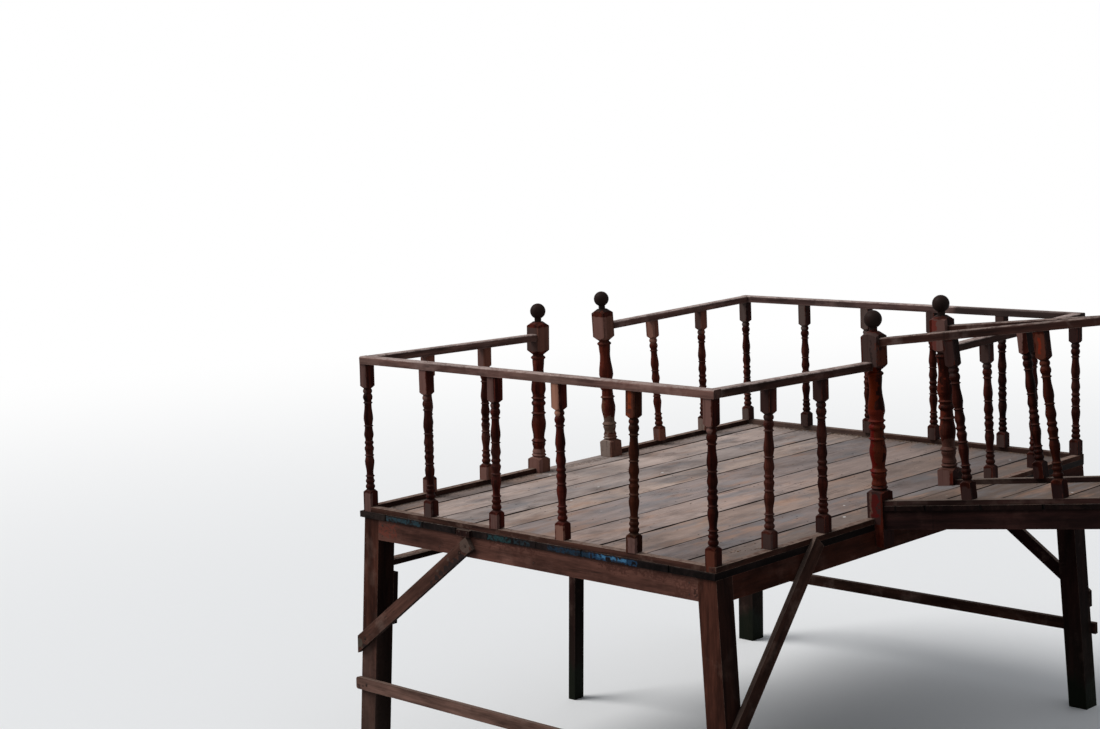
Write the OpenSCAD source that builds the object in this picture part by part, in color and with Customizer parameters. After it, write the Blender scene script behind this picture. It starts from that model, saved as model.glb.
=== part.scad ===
// Wooden jetty: a railed timber platform on splayed legs, with a boat opening on
// the lake side and a sloping gangway on the shore side. Sizes in millimetres.
// +X points to the shore, +Y from the near side to the far side, +Z up.

/* [Platform] */
// Lake side to shore side, between the corner balusters
platform_w = 2600; // [2000:10:3600]
// Near side to far side, between the corner balusters
platform_l = 3540; // [3000:10:4800]
// Top of the planks above the feet of the legs
deck_h = 1600; // [1400:10:2200]
// Thickness of the planks
plank_t = 36; // [25:1:50]
// Width of an open joint between two planks
plank_gap = 8; // [2:1:12]
// Width of a joint where two planks lie close
close_gap = 2; // [1:0.5:4]
// Reach of the planks past the frame on the lake side
lake_lip = 30; // [5:1:60]
// Reach of the planks past the frame on the near side
side_lip = 10; // [5:1:40]

/* [Frame] */
// Reach of the frame past the line of the balusters
frame_out = 35; // [32:1:60]
// Width of a square corner leg
leg_w = 125; // [90:1:160]
// Width of the middle leg along the lake side
middle_leg_w = 85; // [60:1:120]
// Thickness of the middle leg
middle_leg_t = 55; // [40:1:70]
// Outward lean of the near and far faces, in degrees
side_splay = 2.5; // [0:0.1:4]
// Outward lean of the lake face, in degrees
lake_splay = 3.2; // [0:0.1:5]
// Outward lean of the shore face, in degrees
shore_splay = 4.7; // [0:0.1:6]
// Outward lean of the far shore leg towards the shore, in degrees
inner_splay = 2.6; // [0:0.1:4]
// How far that leg stands back from the face of the beam
inner_back = 25; // [10:1:40]
// Height of the edge beams
beam_h = 122; // [90:1:180]
// Thickness of the edge beams
beam_t = 50; // [35:1:75]
// Height of the joists
joist_h = 95; // [70:1:150]
// Thickness of the joists
joist_t = 50; // [35:1:75]
// Number of joists between the near beam and the far beam
joist_count = 5; // [4:1:7]

/* [Bracing] */
// Thickness of ties and braces
tie_t = 28; // [20:1:40]
// Height of a tie
tie_h = 72; // [50:1:110]
// Middle of the near tie below the top of the planks
near_tie_drop = 1032; // [800:10:1200]
// Middle of the far tie below the top of the planks
far_tie_drop = 1096; // [800:10:1200]
// How much lower a tie lies at its lake end
tie_fall = 8; // [0:1:30]
// Reach of a tie past the frame at its lake end
tie_reach = 75; // [20:1:140]
// Reach of a tie past its leg at its shore end
tie_stub = 27; // [10:1:60]
// Width of a brace
brace_w = 82; // [60:1:110]
// Reach of the near brace past its leg
near_brace_reach = 54; // [0:1:80]
// Reach of the far brace past the frame
far_brace_reach = 16; // [0:1:80]
// Run of the near brace along the beam
near_brace_run = 968; // [600:1:1100]
// Rise of the near brace
near_brace_rise = 733; // [500:1:760]
// Run of the far brace along the beam
far_brace_run = 1132; // [700:1:1300]
// Rise of the far brace
far_brace_rise = 836; // [600:1:900]
// Run of the shore brace along the beam
shore_brace_run = 890; // [600:10:1000]
// Rise of the shore brace
shore_brace_rise = 927; // [700:1:950]
// Length of the short block over the upper end of the near brace
brace_block_l = 105; // [60:1:150]
// Thickness of that block
brace_block_t = 22; // [12:1:40]
// Width of the flat plank between the lake legs
step_w = 85; // [60:1:110]
// Thickness of that plank
step_t = 32; // [25:1:50]
// Top of that plank below the top of the deck
step_drop = 310; // [250:1:450]
// Length of the cleats that carry it
cleat_l = 314; // [200:1:400]
// Thickness of the cleats
cleat_t = 35; // [25:1:50]
// Top of a cleat below the flat plank
cleat_drop = 38; // [0:1:60]

/* [Railing] */
// Top of the rail above the planks at the corners
rail_h = 920; // [850:1:1100]
// Width of a rail
rail_w = 64; // [50:1:90]
// Thickness of a rail
rail_t = 44; // [30:1:60]
// Rounding of the upper edges of a rail
rail_round = 11; // [4:1:15]
// How much lower a rail meets its newel than its corner
rail_sink = 30; // [0:1:50]
// How far the rails sit towards the shore on their balusters
rail_shift = 18; // [0:1:20]
// Width of a square baluster block
baluster_w = 60; // [50:1:75]
// Bays on the near and far sides
side_bays = 5; // [4:1:7]
// Bays between a corner and a newel
newel_bays = 3; // [2:1:4]
// Height of the kerb strips under the balusters
kerb_h = 30; // [20:1:45]
// Width of the kerb strips
kerb_w = 45; // [36:1:60]

/* [Newels] */
// Width of a square newel block
newel_w = 100; // [85:1:120]
// Height of a newel above what it stands on, with its ball
newel_h = 1080; // [1040:1:1250]
// Height of its lower block
newel_low_block = 98; // [80:1:130]
// Height of its upper block
newel_high_block = 212; // [180:1:240]
// Diameter of the ball
ball_d = 98; // [80:1:110]
// Reach of a shore newel below the top of the deck
newel_lap = 125; // [80:1:140]
// Middle of the boat opening from the near corner baluster
boat_gate_y = 1744; // [1600:1:1900]
// Distance between the newels of the boat opening
boat_gate_w = 638; // [600:1:800]
// Middle of the gangway from the near corner baluster
gangway_y = 1698; // [1600:1:1900]
// Distance between the newels of the gangway
gangway_w = 674; // [640:1:800]

/* [Gangway] */
// Slope of the gangway up to the shore, in degrees
gangway_slope = 7.25; // [0:0.1:9]
// Underside of the gangway planks above the deck, at their lower end
gangway_step = 65; // [50:1:90]
// Thickness of the gangway planks
gangway_plank_t = 26; // [20:1:40]
// Height of the gangway kerbs
gangway_kerb_h = 28; // [20:1:45]
// Bays of the gangway railing
gangway_bays = 5; // [3:1:6]
// Length of one such bay
gangway_bay = 538; // [450:1:600]
// First bay on the near side
gangway_near_first = 590; // [450:1:650]
// First bay on the far side
gangway_far_first = 620; // [450:1:650]
// Top of the gangway rail above its kerb, at the newel
gangway_rail_h = 882; // [800:1:950]
// How much steeper than the gangway its near rail runs, in degrees
near_rail_tilt = 0.6; // [-2:0.1:2]
// How much flatter than the gangway its far rail runs, in degrees
far_rail_tilt = 1.3; // [-2:0.1:2]
// Height of the stringers
stringer_h = 103; // [90:1:150]
// Thickness of the stringers
stringer_t = 50; // [40:1:70]
// Width of the legs at the shore end
gangway_leg_w = 100; // [80:1:120]
// Height and thickness of the cross beam on those legs
cross_beam_w = 100; // [80:1:120]
// Reach of the planks past the stringers
gangway_lip = 10; // [5:1:30]

/* [Hidden] */
$fn = 48;

leg_brown = [0.30, 0.16, 0.11];
beam_brown = [0.36, 0.20, 0.16];
rail_brown = [0.38, 0.30, 0.26];
turned_red = [0.30, 0.12, 0.09];
deck_grey = [0.60, 0.54, 0.49];

// Uneven board widths, as shares of the deck and of the gangway
plank_shares = [23, 32, 28, 25, 38, 34, 33, 28, 30];
gangway_shares = [18, 19, 34, 37, 34, 36, 33, 37, 38];

// Numbers of the planks with an open joint after them
plank_open = [0, 2, 5, 7];
gangway_open = [1, 3, 5, 7];

// How far old posts lean, in degrees along the diagonal: a positive one leans towards
// the shore and the far side. Near posts count from the lake, the others from a corner
near_leans = [1.25, 0.65, 1.65, 0.6, 1.8, 0.8];
lake_near_leans = [0, 1.75, 1.55];
lake_far_leans = [0, 0, -2];
shore_near_leans = [0, 1, 0];
shore_far_leans = [0, 0, -1.4];

// Lean of each newel towards the shore and towards the far side, and how much higher
// than the deck it stands
boat_newel_leans = [[1.3, 1.3], [-1.05, -1.3]];
boat_newel_lifts = [0, 15];
shore_newel_leans = [[-0.85, -0.85], [-1.85, -1.25]];
shore_newel_lifts = [88, 103];

// One near baluster stands this far out of its even place
odd_baluster = 2;
odd_step = 25;

// Spare length of a piece that is cut back to what it meets
spare = 20;
// How far a turned part runs into the block at its end
root = 2;
frame_top = deck_h - plank_t;
near_edge = -frame_out - side_lip;
far_edge = platform_l + frame_out;
lake_edge = -frame_out - lake_lip;
shore_edge = platform_w + frame_out;
leg_in = leg_w / 2 - frame_out;
inner_x = platform_w + frame_out - inner_back;
kerb_top = deck_h + kerb_h;
rail_z = deck_h + rail_h;
shore_newel_x = platform_w + 32;
shore_newel_face = shore_newel_x + newel_w / 2;
kerb_in = kerb_w - frame_out;
far_kerb_y = platform_l + frame_out - kerb_w;
shore_kerb_x = platform_w + frame_out - kerb_w;
boat_newels = [boat_gate_y - boat_gate_w / 2, boat_gate_y + boat_gate_w / 2];
gangway_newels = [gangway_y - gangway_w / 2, gangway_y + gangway_w / 2];
gangway_x = platform_w - 10;
gangway_z = deck_h + gangway_step;
gangway_start = (shore_newel_x - gangway_x) / cos(gangway_slope);
gangway_end = gangway_start + gangway_near_first + (gangway_bays - 1) * gangway_bay;
gangway_len = gangway_end + newel_w / 2 + 40;
gangway_kerb_top = gangway_plank_t + gangway_kerb_h;
gangway_rail_z = gangway_kerb_top + gangway_rail_h;
gangway_leg_x = gangway_end - 60;

// The origin lies under the middle of the whole jetty
splay_reach = frame_top * tan(side_splay);
near_out = max(splay_reach, tie_out(near_tie_drop));
far_out = max(splay_reach, tie_out(far_tie_drop));
low_x = -frame_out - max(frame_top * tan(lake_splay), tie_reach);
high_x = gangway_x + gangway_len * cos(gangway_slope) + stringer_h * sin(gangway_slope);
middle_x = (low_x + high_x) / 2;
middle_y = (platform_l + far_out - near_out) / 2;

// Reach of a tie's lower edge past the line of the frame's top
function tie_out(drop) =
    tie_t * cos(side_splay) + (drop + tie_h / 2 + tie_fall - plank_t) * sin(side_splay);

function item(list, i) = i < len(list) ? list[i] : 0;
function has(list, i) = len([for (v = list) if (v == i) v]) > 0;
function sum(list, count) = count == 0 ? 0 : list[count - 1] + sum(list, count - 1);

// Round bead between two heights: radius low at its ends, high in its middle
function bead(z0, z1, low, high, steps = 4) =
    [for (i = [0:steps]) [low + (high - low) * sin(180 * i / steps), z0 + (z1 - z0) * i / steps]];

// Smooth stretch from one radius to another
function sweep(z0, z1, r0, r1, steps = 4) =
    [for (i = [0:steps]) [r0 + (r1 - r0) * (1 - cos(180 * i / steps)) / 2, z0 + (z1 - z0) * i / steps]];

module place() translate([-middle_x, -middle_y, 0]) children();

// Keeps what lies between two heights
module between(low, high) {
    intersection() {
        children();
        translate([-deck_h, -deck_h, low])
            cube([gangway_x + gangway_len + 2 * deck_h, platform_l + 2 * deck_h, high - low]);
    }
}

module under_deck() between(0, frame_top) children();

// A post that leans about the middle of its height
module leaning(height, to_shore, to_far) {
    translate([0, 0, height / 2]) rotate([-to_far, to_shore, 0]) translate([0, 0, -height / 2]) children();
}

// Frames on the four outer faces of the legs: the face is the plane y = 0 or x = 0
// with the frame's inside at positive y or x, and z = 0 is the top of the frame
module near_face() translate([0, -frame_out, frame_top]) rotate([-side_splay, 0, 0]) children();
module far_face()
    translate([0, platform_l + frame_out, frame_top]) rotate([side_splay, 0, 0])
        mirror([0, 1, 0]) children();
module lake_face() translate([-frame_out, 0, frame_top]) rotate([0, lake_splay, 0]) children();
module shore_face()
    translate([platform_w + frame_out, 0, frame_top]) rotate([0, -shore_splay, 0])
        mirror([1, 0, 0]) children();
module inner_face()
    translate([inner_x, 0, frame_top]) rotate([0, -inner_splay, 0]) mirror([1, 0, 0]) children();

// Slabs behind those faces, as high as the jetty
module side_slab(side_y, from, depth) {
    if (side_y < 0) near_face() side_slab_shape(from, depth);
    else far_face() side_slab_shape(from, depth);
}

module side_slab_shape(from, depth)
    translate([-deck_h, from, -2 * deck_h]) cube([platform_w + 2 * deck_h, depth, 3 * deck_h]);

module end_slab(side_x, side_y, from, depth) {
    if (side_x < 0) lake_face() end_slab_shape(from, depth);
    else if (side_y < 0) shore_face() end_slab_shape(from, depth);
    else inner_face() end_slab_shape(from, depth);
}

module end_slab_shape(from, depth)
    translate([from, -deck_h, -2 * deck_h]) cube([depth, platform_l + 2 * deck_h, 3 * deck_h]);

// A corner leg is square and lies flush with its faces; only the far shore leg
// stands back, let into the shore beam that runs past it
module corner_leg(side_x, side_y) {
    under_deck() intersection() {
        side_slab(side_y, 0, leg_w);
        end_slab(side_x, side_y, 0, leg_w);
    }
}

module corner_legs() {
    for (side_x = [-1, 1], side_y = [-1, 1]) corner_leg(side_x, side_y);
}

module lake_near_leg() color(leg_brown) place() corner_leg(-1, -1);
module shore_near_leg() color(leg_brown) place() corner_leg(1, -1);
module lake_far_leg() color(leg_brown) place() corner_leg(-1, 1);
module shore_far_leg() color(leg_brown) place() corner_leg(1, 1);

// The middle leg stands under the lake beam, a little nearer than its middle
module middle_leg() {
    under_deck() lake_face() translate([0, platform_l / 2 - 15 - middle_leg_w / 2, -2 * deck_h])
        cube([middle_leg_t, middle_leg_w, 2 * deck_h - beam_h]);
}

module lake_middle_leg() color(leg_brown) place() middle_leg();

// Edge beams fit between the legs and lie flush with their outer faces; the shore
// beam runs on past the far leg
module long_beam() translate([leg_in, 0, -beam_h]) cube([platform_w - 2 * leg_in, beam_t, beam_h + spare]);
module short_beam(length = platform_l - 2 * leg_in)
    translate([0, leg_in, -beam_h]) cube([beam_t, length, beam_h + spare]);

// The legs' planes, at which the long beams end
module leg_planes(side_y) {
    end_slab(-1, side_y, -leg_w, 2 * leg_w);
    end_slab(1, side_y, -leg_w, 2 * leg_w);
}

module near_beam() color(beam_brown) place() difference() {
    under_deck() near_face() long_beam();
    leg_planes(-1);
}

module far_beam() color(beam_brown) place() difference() {
    under_deck() far_face() long_beam();
    leg_planes(1);
}

module lake_beam() color(beam_brown) place() difference() {
    under_deck() lake_face() short_beam();
    for (side_y = [-1, 1]) side_slab(side_y, -leg_w, 2 * leg_w);
}

module shore_beam() color(beam_brown) place() difference() {
    under_deck() shore_face() short_beam(platform_l - leg_in + frame_out - 10);
    side_slab(-1, -leg_w, 2 * leg_w);
    corner_leg(1, 1);
}

module joists() {
    inner = beam_t - frame_out;
    pitch = platform_l / (joist_count + 1);
    color(beam_brown) place() difference() {
        for (i = [1:joist_count])
            translate([-frame_out, i * pitch - joist_t / 2, frame_top - joist_h])
                cube([platform_w + 2 * frame_out, joist_t, joist_h]);
        lake_face() translate([-spare - beam_t, 0, -2 * beam_h])
            cube([spare + 2 * beam_t, platform_l, 3 * beam_h]);
        shore_face() translate([-spare - beam_t, 0, -2 * beam_h])
            cube([spare + 2 * beam_t, platform_l, 3 * beam_h]);
    }
}

module boards(shares, open, length, width, thickness) {
    total = sum(shares, len(shares));
    for (i = [0:len(shares) - 1]) {
        low = length * sum(shares, i) / total;
        high = length * sum(shares, i + 1) / total;
        gap = i == len(shares) - 1 ? 0 : has(open, i) ? plank_gap : close_gap;
        translate([low, 0, 0]) cube([high - low - gap, width, thickness]);
    }
}

module deck() {
    translate([lake_edge, near_edge, frame_top])
        boards(plank_shares, plank_open, shore_edge - lake_edge, far_edge - near_edge, plank_t);
}

module deck_planks() color(deck_grey) place() deck();

// Kerb strips carry the balusters. The far one runs through, the near one ends at
// the corner baluster, and the shore one runs past it to the near edge
module kerb_x(y, from, to) translate([from, y, deck_h]) cube([to - from, kerb_w, kerb_h]);
module kerb_y(x, from, to) translate([x, from, deck_h]) cube([kerb_w, to - from, kerb_h]);

module near_kerb_strip() kerb_x(-frame_out, 0, platform_w - baluster_w / 2);
module far_kerb_strip() kerb_x(far_kerb_y, -frame_out, platform_w + frame_out);

module lake_kerb_strips() {
    kerb_y(-frame_out, kerb_in, boat_newels[0]);
    kerb_y(-frame_out, boat_newels[1], far_kerb_y);
}

module shore_kerb_strips() {
    kerb_y(shore_kerb_x, -frame_out, gangway_newels[0]);
    kerb_y(shore_kerb_x, gangway_newels[1], far_kerb_y);
}

// The frame of a leaning newel, with z = 0 at its foot
module at_newel(x, y, lift, lean) {
    translate([x, y, deck_h + lift]) leaning(newel_h, lean[0], lean[1]) children();
}

module at_boat_newel(i) at_newel(0, boat_newels[i], boat_newel_lifts[i], boat_newel_leans[i]) children();
module at_shore_newel(i)
    at_newel(shore_newel_x, gangway_newels[i], shore_newel_lifts[i], shore_newel_leans[i]) children();

// The room of a newel, widened towards the lake and the shore by what meets it there
module newel_room(to_lake, to_shore) {
    translate([-newel_w / 2 - to_lake, -newel_w / 2, -deck_h])
        cube([newel_w + to_lake + to_shore, newel_w, deck_h + newel_h]);
}

module boat_rooms() for (i = [0, 1]) at_boat_newel(i) newel_room(rail_w, rail_w);
module shore_rooms(to_shore = 0) for (i = [0, 1]) at_shore_newel(i) newel_room(rail_w, to_shore);

// All that lies on the lake side of the shore newels' outer faces
module shore_fronts() {
    for (i = [0, 1]) at_shore_newel(i)
        translate([-platform_w, -newel_w, -deck_h]) cube([platform_w + newel_w / 2, 2 * newel_w, 3 * deck_h]);
}

module near_kerb() color(beam_brown) place() near_kerb_strip();
module far_kerb() color(beam_brown) place() far_kerb_strip();

module lake_kerbs() color(beam_brown) place() difference() {
    lake_kerb_strips();
    boat_rooms();
}

module shore_kerbs() color(beam_brown) place() difference() {
    shore_kerb_strips();
    shore_rooms();
}

// Low ties across the outer faces of the legs, worn round at the lake end
module long_tie(drop, leg_x, splay) {
    reach = frame_out + tie_reach;
    worn = tie_h / 6;
    long = reach + leg_x + (drop - plank_t) * tan(splay) + tie_stub;
    translate([-reach, 0, plank_t - drop - tie_h / 2 - tie_fall]) rotate([0, -atan2(tie_fall, long), 0])
        rotate([90, 0, 0]) linear_extrude(tie_t)
            polygon([[0, worn], [worn / 3, worn / 3], [worn, 0], [long, 0], [long, tie_h],
                [worn, tie_h], [worn / 3, tie_h - worn / 3], [0, tie_h - worn]]);
}

module near_tie() color(leg_brown) place() difference() {
    near_face() long_tie(near_tie_drop, platform_w + frame_out, shore_splay);
    corner_legs();
}

module far_tie() color(leg_brown) place() difference() {
    far_face() long_tie(far_tie_drop, inner_x, inner_splay);
    corner_legs();
}

// The flat plank between the lake legs, notched round the middle leg
module lake_step_plank() {
    translate([-frame_out, 0, deck_h - step_drop - step_t]) cube([step_w, platform_l, step_t]);
}

module lake_step() color(beam_brown) place() difference() {
    lake_step_plank();
    corner_legs();
    middle_leg();
}

// A cleat is nailed to the inner side of a lake leg, a little below the flat plank
module step_cleat(side_y) {
    top = deck_h - step_drop - step_t - cleat_drop;
    between(top - cleat_l, top) intersection() {
        side_slab(side_y, leg_w, cleat_t);
        end_slab(-1, side_y, 0, leg_w);
    }
}

// A short block under the kerb, over the upper end of the near brace
module brace_block() {
    end = near_brace_run - frame_out - near_brace_reach;
    translate([end - brace_block_l * 0.9, near_edge - brace_block_t, frame_top])
        cube([brace_block_l, brace_block_t, plank_t]);
}

module cleats() color(leg_brown) place() {
    step_cleat(-1);
    step_cleat(1);
    brace_block();
}

// A brace lies on the outer face: from its lower end, cut plumb beside the leg, up to
// the beam, where its upper corner stays just under the planks
module side_brace(run, rise, reach) {
    slope = atan2(rise, run);
    start = -frame_out - reach;
    top = -brace_w / 2 * cos(slope) - 3;
    intersection() {
        translate([start + run, -tie_t, top]) rotate([0, 180 - slope, 0]) translate([0, 0, -brace_w / 2])
            cube([norm([run, rise]) + brace_w, tie_t, brace_w]);
        translate([start, -tie_t, -2 * deck_h]) cube([platform_w, tie_t, 2 * deck_h]);
    }
}

module near_brace() color(leg_brown) place() difference() {
    near_face() side_brace(near_brace_run, near_brace_rise, near_brace_reach);
    corner_legs();
}

module far_brace() color(leg_brown) place() difference() {
    far_face() translate([platform_w, 0, 0]) mirror([1, 0, 0])
        side_brace(far_brace_run, far_brace_rise, far_brace_reach);
    corner_legs();
}

// The shore brace runs up past the edge of the planks
module shore_brace() color(leg_brown) place() difference() {
    shore_face() translate([-tie_t, -frame_out - 60, plank_t + 6 - shore_brace_rise])
        rotate([atan2(shore_brace_rise, shore_brace_run), 0, 0]) translate([0, 0, -brace_w / 2])
            cube([tie_t, norm([shore_brace_run, shore_brace_rise]), brace_w]);
    corner_legs();
    deck();
    shore_kerb_strips();
}

// A rail has rounded upper edges; its top is z = 0 and it runs along +X
module rail_bar(length) {
    rotate([90, 0, 90]) linear_extrude(length) {
        translate([-rail_w / 2, -rail_t]) square([rail_w, rail_t - rail_round]);
        translate([-rail_w / 2 + rail_round, -rail_t]) square([rail_w - 2 * rail_round, rail_t]);
        for (side = [-1, 1])
            translate([side * (rail_w / 2 - rail_round), -rail_round]) circle(rail_round);
    }
}

module long_rail(y) translate([rail_shift - rail_w / 2, y, rail_z]) rail_bar(platform_w + rail_w);
module near_rail() color(rail_brown) place() long_rail(0);
module far_rail() color(rail_brown) place() long_rail(platform_l);

// A rail that sinks from its corner at y = 0 to its newel at y = length
module sinking_rail(length) {
    start = rail_w / 2;
    intersection() {
        rotate([-atan2(rail_sink, length), 0, 0]) rotate([0, 0, 90])
            rail_bar(length + 2 * spare);
        translate([-rail_w, start, -rail_t - 2 * rail_sink - spare])
            cube([2 * rail_w, length - start, rail_t + 3 * rail_sink + 2 * spare]);
    }
}

module rail_pair(x, newels) {
    translate([x + rail_shift, 0, rail_z]) sinking_rail(newels[0]);
    translate([x + rail_shift, platform_l, rail_z]) mirror([0, 1, 0])
        sinking_rail(platform_l - newels[1]);
}

// All that lies over the underside of the sinking rails
module over_sinking_rail(length)
    rotate([-atan2(rail_sink, length), 0, 0]) translate([-2 * rail_w, 0, -rail_t])
        cube([4 * rail_w, length, 3 * rail_t]);

module over_rail_pair(x, newels) {
    translate([x, 0, rail_z]) over_sinking_rail(newels[0]);
    translate([x, platform_l, rail_z]) mirror([0, 1, 0]) over_sinking_rail(platform_l - newels[1]);
}

module lake_rails() color(rail_brown) place() difference() {
    rail_pair(0, boat_newels);
    boat_rooms();
}

module shore_rails() color(rail_brown) place() difference() {
    rail_pair(platform_w, gangway_newels);
    shore_rooms();
}

// Square block whose upper or lower end is turned down to the shoulder radius
module turned_block(width, height, low_shoulder, high_shoulder, radius) {
    corner = width * 0.75;
    intersection() {
        translate([-width / 2, -width / 2, 0]) cube([width, width, height]);
        rotate_extrude() polygon([
            [0, 0], [low_shoulder > 0 ? radius : corner, 0], [corner, low_shoulder],
            [corner, height - high_shoulder], [high_shoulder > 0 ? radius : corner, height], [0, height]
        ]);
    }
}

// Turned part of a baluster, unit length, for a block of unit width
function baluster_outline(w, l) = concat(
    [[0, -root], [w * 0.30, -root]],
    bead(0.00 * l, 0.05 * l, w * 0.36, w * 0.47),
    bead(0.06 * l, 0.10 * l, w * 0.36, w * 0.45),
    bead(0.12 * l, 0.14 * l, w * 0.36, w * 0.47, 2),
    sweep(0.155 * l, 0.28 * l, w * 0.33, w * 0.47),
    sweep(0.28 * l, 0.315 * l, w * 0.47, w * 0.40, 2),
    bead(0.325 * l, 0.35 * l, w * 0.37, w * 0.47, 2),
    sweep(0.36 * l, 0.41 * l, w * 0.38, w * 0.47, 3),
    sweep(0.41 * l, 0.435 * l, w * 0.47, w * 0.36, 2),
    bead(0.445 * l, 0.48 * l, w * 0.37, w * 0.45),
    sweep(0.49 * l, 0.54 * l, w * 0.36, w * 0.47, 3),
    sweep(0.54 * l, 0.61 * l, w * 0.47, w * 0.38, 3),
    bead(0.62 * l, 0.64 * l, w * 0.37, w * 0.47, 2),
    sweep(0.655 * l, 0.70 * l, w * 0.40, w * 0.47, 3),
    sweep(0.70 * l, 0.835 * l, w * 0.47, w * 0.35),
    bead(0.85 * l, 0.87 * l, w * 0.36, w * 0.47, 2),
    bead(0.88 * l, 0.95 * l, w * 0.36, w * 0.48),
    bead(0.95 * l, 1.00 * l, w * 0.36, w * 0.46),
    [[w * 0.30, l + root], [0, l + root]]
);

// A baluster stands on z = 0; foot and head lengthen its blocks past their seats
module baluster(height, foot = 0, head = 0) {
    low_block = 0.12 * height;
    high_block = 0.175 * height;
    shoulder = 0.022 * height;
    translate([0, 0, -foot])
        turned_block(baluster_w, low_block + foot, 0, shoulder, baluster_w * 0.36);
    translate([0, 0, low_block])
        rotate_extrude() polygon(baluster_outline(baluster_w, height - low_block - high_block));
    translate([0, 0, height - high_block])
        turned_block(baluster_w, high_block + head, shoulder, 0, baluster_w * 0.36);
}

baluster_h = rail_h - rail_t - kerb_h;

// A leaning post, long enough at both ends to be cut to its seats
module post(x, y, lean, foot = 0) {
    diagonal = lean * cos(45);
    translate([x, y, kerb_top]) leaning(baluster_h, diagonal, diagonal)
        baluster(baluster_h, foot + spare / 2, spare / 2);
}

// The corner posts reach down by foot below the top of the kerb
module side_balusters(y, leans, odd, foot) {
    bay = platform_w / side_bays;
    between(kerb_top, rail_z - rail_t) for (i = [1:side_bays - 1])
        post(i * bay + (i == odd ? odd_step : 0), y, item(leans, i));
    difference() {
        between(kerb_top - foot, rail_z - rail_t) for (i = [0, side_bays])
            post(i * bay, y, item(leans, i), foot);
        near_kerb_strip();
        lake_kerb_strips();
        shore_kerb_strips();
        rail_pair(0, boat_newels);
        rail_pair(platform_w, gangway_newels);
    }
}

module near_balusters() color(turned_red) place() side_balusters(0, near_leans, odd_baluster, kerb_h);
module far_balusters() color(turned_red) place() side_balusters(platform_l, [], -1, 0);

// Balusters between a corner and a newel are cut to the rail above them
module newel_side_balusters(x, newels, near, far) {
    near_bay = newels[0] / newel_bays;
    far_bay = (platform_l - newels[1]) / newel_bays;
    difference() {
        between(kerb_top, rail_z - rail_t) for (i = [1:newel_bays - 1]) {
            post(x, i * near_bay, item(near, i));
            post(x, platform_l - i * far_bay, item(far, i));
        }
        over_rail_pair(x, newels);
    }
}

module lake_balusters()
    color(turned_red) place() newel_side_balusters(0, boat_newels, lake_near_leans, lake_far_leans);
module shore_balusters() color(turned_red) place()
    newel_side_balusters(platform_w, gangway_newels, shore_near_leans, shore_far_leans);

function newel_outline(w, l) = concat(
    [[0, -root], [w * 0.34, -root]],
    bead(0.00 * l, 0.035 * l, w * 0.38, w * 0.47, 2),
    sweep(0.043 * l, 0.085 * l, w * 0.43, w * 0.36, 3),
    sweep(0.085 * l, 0.131 * l, w * 0.36, w * 0.43, 3),
    bead(0.142 * l, 0.172 * l, w * 0.40, w * 0.48, 2),
    sweep(0.183 * l, 0.324 * l, w * 0.35, w * 0.47),
    sweep(0.324 * l, 0.412 * l, w * 0.47, w * 0.39),
    bead(0.416 * l, 0.444 * l, w * 0.38, w * 0.48, 2),
    bead(0.499 * l, 0.553 * l, w * 0.36, w * 0.46),
    bead(0.566 * l, 0.592 * l, w * 0.38, w * 0.48, 2),
    sweep(0.605 * l, 0.66 * l, w * 0.38, w * 0.47, 3),
    sweep(0.66 * l, 0.85 * l, w * 0.47, w * 0.34),
    sweep(0.85 * l, 0.94 * l, w * 0.34, w * 0.38, 3),
    bead(0.956 * l, 0.99 * l, w * 0.38, w * 0.47),
    [[w * 0.34, 0.993 * l], [w * 0.34, l + root], [0, l + root]]
);

// A newel stands on z = 0; foot lengthens its lower block downwards
module newel(foot = 0) {
    low_shoulder = 0.18 * newel_low_block;
    high_shoulder = 0.16 * newel_high_block;
    cap = 0.137 * newel_high_block;
    neck = 17;
    neck_z = newel_h - ball_d - neck;
    high_z = neck_z - newel_high_block;
    translate([0, 0, -foot])
        turned_block(newel_w, newel_low_block + foot, 0, low_shoulder, newel_w * 0.40);
    translate([0, 0, newel_low_block])
        rotate_extrude() polygon(newel_outline(newel_w, high_z - newel_low_block));
    translate([0, 0, high_z]) turned_block(newel_w, newel_high_block, high_shoulder, cap, newel_w * 0.32);
    translate([0, 0, neck_z - root]) cylinder(h = neck + root + ball_d / 2, r = ball_d * 0.22);
    translate([0, 0, newel_h - ball_d / 2]) sphere(d = ball_d);
}

module lake_newels() color(turned_red) place()
    between(deck_h, 2 * deck_h) for (i = [0, 1]) at_boat_newel(i) newel(boat_newel_lifts[i] + spare);

// The shore newels are notched over the edge of the deck and lap down its face
module shore_newel_pair() {
    difference() {
        for (i = [0, 1]) at_shore_newel(i) newel(shore_newel_lifts[i] + newel_lap);
        translate([0, -deck_h, -deck_h]) cube([shore_edge, platform_l + 2 * deck_h, 2 * deck_h]);
        shore_face() short_beam();
    }
}

module shore_newels() color(turned_red) place() shore_newel_pair();

// The gangway is built level and then tilted: x runs up the slope from the lower
// edge of its planks, and z = 0 is the underside of the planks
module on_slope() translate([gangway_x, 0, gangway_z]) rotate([0, -gangway_slope, 0]) children();

// The sill carries the lower edge of the gangway planks on the deck
module gangway_sill() color(beam_brown) place() difference() {
    translate([gangway_x, gangway_newels[0], deck_h])
        cube([shore_edge - gangway_x, gangway_w, gangway_step + spare]);
    on_slope() translate([-spare, 0, 0]) cube([gangway_len, platform_l, gangway_step]);
    shore_rooms();
}

module stringer(y) {
    on_slope() translate([0, y - stringer_t / 2, -stringer_h]) cube([gangway_len, stringer_t, stringer_h]);
}

// Stringers butt against the newels
module cut_to_platform() {
    difference() {
        children();
        shore_fronts();
    }
}

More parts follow.
